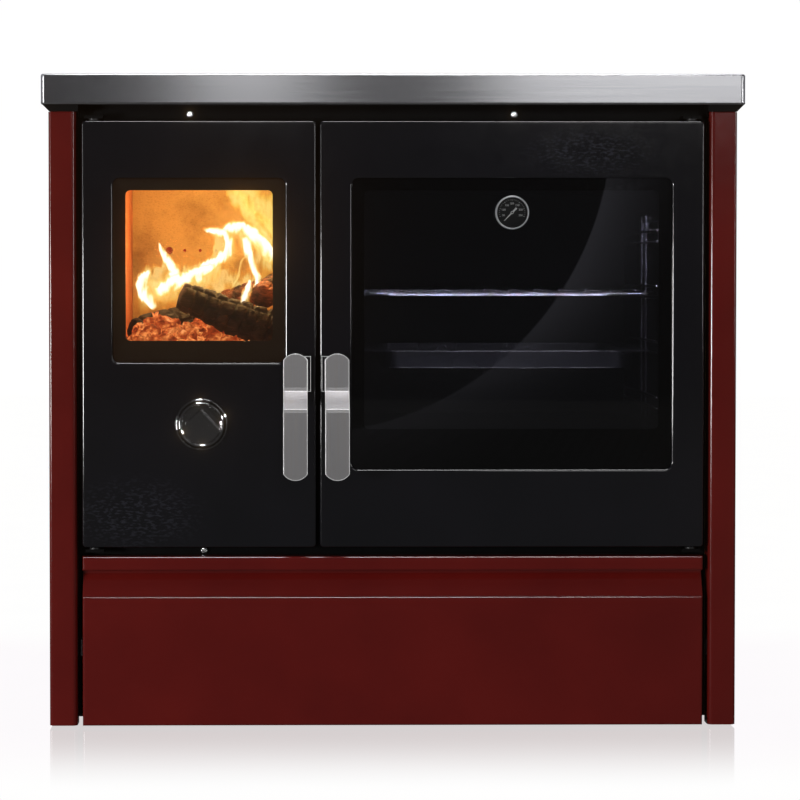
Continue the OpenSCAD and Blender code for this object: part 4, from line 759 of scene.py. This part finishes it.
# %% [markdown]
# ## Embers
# A heap of ash with broken coals strewn over it. It lies deepest in the middle of the grate.


# %% Embers
def bed_height(x, y):
    """Height of the ember bed over the grate: a heap that is highest in the middle."""
    across = 1 - 0.5 * ((x + 0.262) / 0.098) ** 4
    front = min(1.0, max(0.0, (-0.10 - y) / 0.04)) * min(1.0, max(0.0, (x + 0.30) / 0.08))
    deep = 1 - ((y + 0.100) / 0.155) ** 4
    lumps = (0.008 * noise.noise(Vector((x * 40, y * 40, 1.0)))
             + 0.004 * noise.noise(Vector((x * 110, y * 110, 5.0))))
    return max(0.004, 0.05 * max(0.0, across) * max(0.0, deep) * (1 - 0.75 * front) + lumps)


def ash_mound(name):
    """The heap of ash and small coals under the embers, as one height field."""
    bm = bmesh.new()
    cols, rows = 60, 84
    left_x, width, front_y, depth = -0.356, 0.206, -0.246, 0.29
    grid = []
    for i in range(rows + 1):
        y = front_y + depth * i / rows
        row = []
        for j in range(cols + 1):
            x = left_x + width * j / cols
            row.append(bm.verts.new((x, y, grate_top + bed_height(x, y))))
        grid.append(row)
    for a, b in zip(grid, grid[1:]):
        for j in range(cols):
            bm.faces.new((a[j], a[j + 1], b[j + 1], b[j])).smooth = True
    mesh = bpy.data.meshes.new(name)
    bm.to_mesh(mesh)
    bm.free()
    return mesh


def ember_bed(name, count, seed):
    """Broken coals heaped on the ash, in one mesh."""
    pick = random.Random(seed)
    bm = bmesh.new()
    for _ in range(count):
        size = pick.uniform(0.004, 0.010)
        x = pick.uniform(-0.346, -0.160)
        y = pick.uniform(-0.236, 0.02)
        made = bmesh.ops.create_icosphere(bm, subdivisions=2, radius=size)
        angle = pick.uniform(0, 6.28)
        turn = Matrix.Rotation(angle, 4, Vector((pick.random(), pick.random(), pick.random() + 0.1)))
        place = Vector((x, y, grate_top + bed_height(x, y) + size * 0.4))
        long, thin = pick.uniform(1.0, 2.6), pick.uniform(0.45, 0.9)
        for vert in made["verts"]:
            block = size / max(abs(vert.co.x), abs(vert.co.y), abs(vert.co.z))
            rough = (0.35 + 0.65 * block) * (1 + 0.8 * noise.noise(vert.co * 130 + Vector((x, y, 0)) * 90))
            coal = Vector((vert.co.x * long, vert.co.y, vert.co.z * thin)) * rough * 0.8
            vert.co = place + turn @ coal
    mesh = bpy.data.meshes.new(name)
    bm.to_mesh(mesh)
    bm.free()
    return mesh


new_object("ash_mound", ash_mound("ash_mound"), ember, "stove_body")
new_object("ember_bed", ember_bed("ember_bed", 300, 5), ember, "stove_body")
print("embers ready")

# %% [markdown]
# ## Flames
# Each flame is a thin sheet along a curve. Smoke simulation would give a truer fire, but sheets stay
# light and look the same each time. I picked the curves' points on an enlarged view of the
# fire, and they were then turned from pixels into millimetres.


# %% Flames
def on_curve(points, t):
    """Smooth curve through the points; t runs from 0 to 1."""
    spot = t * (len(points) - 1)
    i = min(int(spot), len(points) - 2)
    u = spot - i
    p0, p1, p2, p3 = (points[max(0, min(len(points) - 1, i + k))] for k in (-1, 0, 1, 2))
    return [0.5 * (2 * b + (c - a) * u + (2 * a - 5 * b + 4 * c - d) * u * u
                   + (3 * b - a - 3 * c + d) * u ** 3)
            for a, b, c, d in zip(p0, p1, p2, p3)]


def flame_mesh(name, depth, points):
    """One flame: a sheet along a curve of (x, height over the floor, half width), all in millimetres."""
    rows, cols = 64, 10
    bm = bmesh.new()
    layer = bm.loops.layers.uv.new("tongue")
    grid = []
    for i in range(rows + 1):
        x, z, half = on_curve(points, i / rows)
        ahead = on_curve(points, min(1.0, (i + 1) / rows))
        behind = on_curve(points, max(0.0, (i - 1) / rows))
        across = Vector((ahead[1] - behind[1], 0, behind[0] - ahead[0])).normalized()
        row = []
        for j in range(cols + 1):
            u = j / cols
            spot = Vector((x, depth + 4 * math.cos((u - 0.5) * math.pi), z))
            spot = spot + across * (u - 0.5) * 2 * max(0.3, half)
            row.append(bm.verts.new(spot / 1000))
        grid.append(row)
    for i in range(rows):
        for j in range(cols):
            face = bm.faces.new((grid[i][j], grid[i][j + 1], grid[i + 1][j + 1], grid[i + 1][j]))
            face.smooth = True
            for loop, (a, b) in zip(face.loops, ((i, j), (i, j + 1), (i + 1, j + 1), (i + 1, j))):
                loop[layer].uv = (b / cols, a / rows)
    mesh = bpy.data.meshes.new(name)
    bm.to_mesh(mesh)
    bm.free()
    return mesh


# Name, material, depth and curve, in millimetres
FLAMES = [
    ("flame_centre", bright_fire, -90, [
        (-259, 572, 4.8), (-258, 583, 8.9), (-255, 595, 11.6), (-247, 602, 11.6), (-234, 610, 13),
        (-222, 621, 14.4), (-217, 633, 14.4), (-223, 643, 12.3), (-236, 649, 10.3),
        (-247, 652, 6.8), (-256, 654, 2.1)]),
    ("flame_bridge", bright_fire, -84, [
        (-234, 647, 7.5), (-217, 652, 13.7), (-199, 650, 15.7), (-183, 641, 15.7),
        (-168, 626, 15.7), (-151, 607, 17.1)]),
    ("flame_tall", bright_fire, -88, [
        (-182, 565, 6.2), (-180, 579, 9.6), (-184, 595, 10.9), (-189, 613, 10.3), (-192, 631, 9.6),
        (-197, 645, 6.8)]),
    ("flame_small", bright_fire, -120, [
        (-199, 547, 9.6), (-195, 559, 11.6), (-191, 572, 8.2), (-189, 585, 1.7)]),
    ("flame_left", bright_fire, -110, [
        (-317, 542, 5.5), (-327, 556, 11.6), (-336, 572, 15.7), (-334, 587, 13.7), (-325, 598, 6.2)]),
    ("flame_left_tip", bright_fire, -100, [
        (-282, 579, 13.7), (-292, 586, 17.1), (-298, 598, 15), (-305, 613, 10.3), (-311, 625, 5.5),
        (-315, 636, 1.4)]),
    ("flame_low", bright_fire, -106, [
        (-321, 566, 11.6), (-305, 572, 15), (-286, 581, 14.4), (-268, 590, 13), (-251, 597, 10.3),
        (-236, 605, 6.2)]),
    ("flame_curl", soft_fire, -80, [
        (-217, 566, 3.4), (-207, 585, 4.1), (-203, 600, 4.1), (-199, 611, 3.4), (-188, 617, 1.4)]),
    ("flame_left_body", soft_fire, -70, [
        (-302, 552, 17.1), (-312, 569, 37.6), (-312, 586, 39.3), (-305, 601, 27.4), (-305, 617, 15),
        (-312, 632, 3.4)]),
    ("flame_low_body", soft_fire, -72, [
        (-336, 562, 17.1), (-305, 573, 30.8), (-275, 586, 30.8), (-247, 596, 27.4),
        (-223, 607, 17.1)]),
    ("flame_centre_body", soft_fire, -66, [
        (-244, 569, 17.1), (-244, 586, 30.8), (-234, 603, 34.2), (-223, 620, 30.8), (-224, 637, 26),
        (-236, 650, 13.7), (-251, 655, 4.1)]),
    ("flame_right_body", soft_fire, -64, [
        (-234, 652, 13.7), (-210, 648, 27.4), (-189, 634, 37.6), (-172, 613, 41), (-158, 586, 37.6)]),
    ("flame_veil_front", veil_fire, -58, [
        (-146, 586, 20.5), (-155, 617, 27.4), (-172, 648, 27.4), (-189, 675, 23.9),
        (-210, 702, 20.5), (-223, 723, 13.7)]),
    ("flame_veil_rear", veil_fire, -40, [
        (-135, 620, 30.8), (-148, 648, 37.6), (-165, 675, 37.6), (-186, 702, 34.2),
        (-203, 730, 27.4), (-217, 754, 20.5)]),
    ("flame_heat", soft_fire, -30, [
        (-353, 548, 27.4), (-309, 555, 41), (-258, 566, 44.5), (-206, 572, 44.5), (-155, 579, 37.6)]),
]
for name, finish, depth, points in FLAMES:
    new_object(name, flame_mesh(name, depth, points), finish, "stove_body")
print(len(FLAMES), "flames lit")

# %% [markdown]
# ## Air holes
# One looks through the holes in the back brick, so a small glowing disc stands in each of them.


# %% Air holes
def painted_hole_glow(name):
    """Painted firelight: the red glow of the fire that shows through the row of air holes."""
    made, tree, shader = material(name, "#3a0e08", 0.9)
    shader.inputs["Emission Color"].default_value = srgb("#c2341c")
    wire(tree, spread(tree, cloud(tree, 300, 3), 0.25, 0.75), shader.inputs["Emission Strength"])
    return made


def hole_glow_mesh(name, middle, pitch, depth, height):
    """Six discs, glowing in front and dark behind; the outer two are wider."""
    count, wide, narrow = 6, 0.0050, 0.0021
    bm = bmesh.new()
    for i in range(count):
        radius = wide if i in (0, count - 1) else narrow
        centre = Vector((middle + (i - (count - 1) / 2) * pitch, depth, height))
        rim = [bm.verts.new(centre + Vector((radius * math.cos(a), 0, radius * math.sin(a))))
               for a in (math.pi * k / 12 for k in range(24))]
        tip = bm.verts.new(centre + Vector((0, 0.002, 0)))
        rear = bm.verts.new(centre + Vector((0, 0.004, 0)))
        for a, b in zip(rim, rim[1:] + rim[:1]):
            bm.faces.new((a, b, tip))
            bm.faces.new((b, a, rear)).material_index = 1
    mesh = bpy.data.meshes.new(name)
    bm.to_mesh(mesh)
    bm.free()
    return mesh


back_low, back_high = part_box("back_firebrick")
HOLE_PITCH, HOLE_INSET, HOLE_HEIGHT = 0.022, 0.004, 0.154
glow_mesh = hole_glow_mesh("air_hole_glow", (back_low.x + back_high.x) / 2, HOLE_PITCH,
                           back_low.y + HOLE_INSET, back_low.z + HOLE_HEIGHT)
new_object("air_hole_glow", glow_mesh, painted_hole_glow("air_hole_glow"), "stove_body")
glow_mesh.materials.append(grate_iron)
print("air holes glow")

# %% [markdown]
# ## Firelight
# The flames alone light the bricks unevenly, so two small orange lamps help them.


# %% Firelight
def small_lamp(name, place, power, colour, size):
    """Adds a small round lamp."""
    light = bpy.data.lights.new(name, "POINT")
    light.energy = power
    light.color = colour
    light.shadow_soft_size = size
    lamp = bpy.data.objects.new(name, light)
    lamp.location = place
    scene.collection.objects.link(lamp)
    return lamp


small_lamp("fire_light", (-0.200, -0.09, 0.655), 2.5, (1.0, 0.63, 0.25), 0.04)
small_lamp("fire_light_low", (-0.300, -0.13, 0.610), 0.35, (1.0, 0.45, 0.18), 0.03)
print("fire laid with", len(LOGS), "logs and", len(FLAMES), "flames")

# %% [markdown]
# ## The studio
# A pale floor that mirrors the stove faintly, a white wall behind it, and a dim room in front so
# that the glossy doors stay black. Two lamps above the camera give the steel band its run from
# dark on the left to bright on the right.


# %% Floor
def studio_floor(name):
    """White floor with a faint mirror image and a painted pink reflection near the stove; the stove itself
    sees it as dim.
    """
    made = bpy.data.materials.new(name)
    made.use_nodes = True
    tree = made.node_tree
    tree.nodes.remove(tree.nodes["Principled BSDF"])
    place = add(tree, "TexCoord").outputs["Object"]
    size = add(tree, "VectorMath", {0: place}, operation="ABSOLUTE").outputs["Vector"]
    past = add(tree, "SeparateXYZ", {0: add(tree, "VectorMath", {0: size, 1: (0.456, 0.30, 0)},
                                            operation="SUBTRACT").outputs["Vector"]})
    way = add(tree, "Math", {0: past.outputs["X"], 1: past.outputs["Y"]}, operation="MAXIMUM").outputs[0]
    near = add(tree, "MapRange", {"Value": way, "From Min": 0.02, "From Max": 0.42, "To Min": 0.34,
                                  "To Max": 0.0}, interpolation_type="SMOOTHSTEP").outputs["Result"]
    lift = spread(tree, cloud(tree, 6, 2), 0.985, 1.0)
    # Painted reflection: near the stove the white turns faintly pink, as the red stove would tint it.
    painted_pink_reflection = add(tree, "Mix", {"Factor": near, "A": (1, 1, 1, 1), "B": (1, 0.88, 0.89, 1)}, data_type="RGBA")
    white = add(tree, "Emission", {"Color": painted_pink_reflection.outputs["Result"], "Strength": lift})
    wear = spread(tree, cloud(tree, 30, 3), 0.05, 0.09)
    mirror = add(tree, "BsdfGlossy", {"Color": (1, 1, 1, 1), "Roughness": wear})
    seen = add(tree, "MixShader", {0: near, 1: white.outputs[0], 2: mirror.outputs[0]})
    dim = add(tree, "Emission", {"Color": (1, 1, 1, 1), "Strength": 0.07})
    direct = add(tree, "LightPath").outputs["Is Camera Ray"]
    both = add(tree, "MixShader", {0: direct, 1: dim.outputs[0], 2: seen.outputs[0]})
    wire(tree, both.outputs[0], tree.nodes["Material Output"].inputs["Surface"])
    return made


floor_mesh = bpy.data.meshes.new("studio_floor")
bm = bmesh.new()
bmesh.ops.create_circle(bm, cap_ends=True, segments=96, radius=9.0)
bm.to_mesh(floor_mesh)
bm.free()
floor = bpy.data.objects.new("studio_floor", floor_mesh)
floor_mesh.materials.append(studio_floor("studio_floor"))
scene.collection.objects.link(floor)
print("floor laid")

# %% [markdown]
# ## Surroundings
# The camera sees plain white all round. The stove sees a dim room that is bright only behind it
# and overhead, which keeps the glossy doors black.

# %% Surroundings
world = bpy.data.worlds.new("studio")
scene.world = world
world.use_nodes = True
sky = world.node_tree
backdrop = sky.nodes["Background"]
backdrop.inputs["Color"].default_value = (1, 1, 1, 1)
way = add(sky, "SeparateXYZ", {0: add(sky, "TexCoord").outputs["Generated"]})
behind = add(sky, "MapRange", {"Value": way.outputs["Y"], "From Min": 0.15, "From Max": 0.6, "To Min": 0.05,
                               "To Max": 1.0}, interpolation_type="SMOOTHSTEP").outputs["Result"]
above = add(sky, "MapRange", {"Value": way.outputs["Z"], "From Min": 0.88, "From Max": 0.95, "To Min": 0.0,
                              "To Max": 1.0}, interpolation_type="SMOOTHSTEP").outputs["Result"]
level = add(sky, "Math", {0: behind, 1: above}, operation="MAXIMUM").outputs[0]
room = add(sky, "Background", {"Color": (0.94, 0.95, 1.0, 1), "Strength": level})
seen = add(sky, "LightPath").outputs["Is Camera Ray"]
choose = add(sky, "MixShader", {0: seen, 1: room.outputs[0], 2: backdrop.outputs[0]})
wire(sky, choose.outputs[0], sky.nodes["World Output"].inputs["Surface"])
print("room ready")

# %% [markdown]
# ## Lamps
# I set these for the front view. Several light only the parts named with them, so they are
# a studio trick: from other sides the knob and the oven shelf can look too bright.


# %% Lamps
def softbox(name, place, aim, width, height, power):
    """Adds a white rectangular lamp that points at aim."""
    light = bpy.data.lights.new(name, "AREA")
    light.shape = "RECTANGLE"
    light.size = width
    light.size_y = height
    light.energy = power
    lamp = bpy.data.objects.new(name, light)
    lamp.location = place
    lamp.rotation_euler = (Vector(aim) - Vector(place)).to_track_quat("-Z", "Y").to_euler()
    scene.collection.objects.link(lamp)
    return lamp


def only_on(lamp, names):
    """Lets a lamp light only the named parts, as a photographer does with flags and snoots."""
    group = bpy.data.collections.new(lamp.name + "_parts")
    for name in names.split():
        group.objects.link(nodes[name])
    lamp.light_linking.receiver_collection = group


softbox("band_lamp_right", (1.04, -4.3, 1.60), (0.3, 0, 0.83), 1.24, 0.9, 8.5)
softbox("band_lamp_left", (-0.26, -4.3, 1.60), (-0.26, 0, 0.83), 0.32, 0.9, 1.9)
softbox("key_lamp", (-3.0, -3.0, 0.4), (0, 0, 0.35), 0.9, 0.5, 62)
edge_lamp = softbox("edge_lamp", (0.1, -1.5, 3.7), (0.1, -0.3, 0.3), 1.6, 0.4, 34)
edge_lamp.visible_diffuse = False
softbox("left_lamp", (-2.6, -1.9, 0.6), (0, 0, 0.5), 0.25, 0.9, 5)
softbox("right_lamp", (2.4, -2.3, 0.9), (0, 0, 0.5), 0.25, 0.9, 9)
oven_low, oven_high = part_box("oven_liner")
oven_mid = (oven_low.x + oven_high.x) / 2
for name, z, power, lit in (("oven_lamp_high", oven_high.z - 0.006, 0.9, "oven_ladders baking_tray"),
                            ("oven_lamp_low", oven_low.z + 0.006, 1.6, "wire_shelf baking_tray")):
    lamp = softbox(name, (oven_mid, oven_low.y + 0.012, z), (oven_mid, oven_low.y + 0.06, 0.545), 0.30,
                   0.012, power)
    only_on(lamp, lit)
for name, power, lit in (("shelf_lamp", 90, "wire_shelf oven_ladders"), ("tray_lamp", 26, "baking_tray")):
    only_on(softbox(name, (0.2, -3.0, 0.80), (0.15, 0, 0.56), 1.4, 0.08, power), lit)
only_on(softbox("bolt_lamp", (-0.1, -3.0, 1.15), (-0.05, -0.27, 0.79), 0.8, 0.2, 7), "body_bolts")
only_on(softbox("low_bolt_lamp", (-0.25, -3.0, 0.52), (-0.25, -0.27, 0.23), 0.3, 0.1, 9), "body_bolts")
KNOB_POWER = 110
for name, place in (("knob_lamp_right", (1.6, -1.6, 1.0)), ("knob_lamp_left", (-2.0, -1.6, 0.1)),
                    ("knob_lamp_top", (-0.6, -1.2, 2.6))):
    only_on(softbox(name, place, (-0.29, -0.3, 0.38), 0.6, 0.3, KNOB_POWER), "air_knob air_rosette")
print("studio ready")

# %% [markdown]
# ## Glow
# A hot fire blooms in a lens. The threshold lies just above white, so the flames do it, and so
# does any glint that is brighter than white.

# %% Bloom
scene.use_nodes = True
develop = scene.node_tree
develop.nodes.clear()
layers = develop.nodes.new("CompositorNodeRLayers")
bloom = develop.nodes.new("CompositorNodeGlare")
bloom.glare_type = "BLOOM"
for key, value in {"Threshold": 1.05, "Strength": 1.6, "Size": 0.5, "Tint": (1.0, 0.6, 0.28, 1.0)}.items():
    bloom.inputs[key].default_value = value
result = develop.nodes.new("CompositorNodeComposite")
develop.links.new(layers.outputs["Image"], bloom.inputs["Image"])
develop.links.new(bloom.outputs["Image"], result.inputs["Image"])
print("bloom ready")
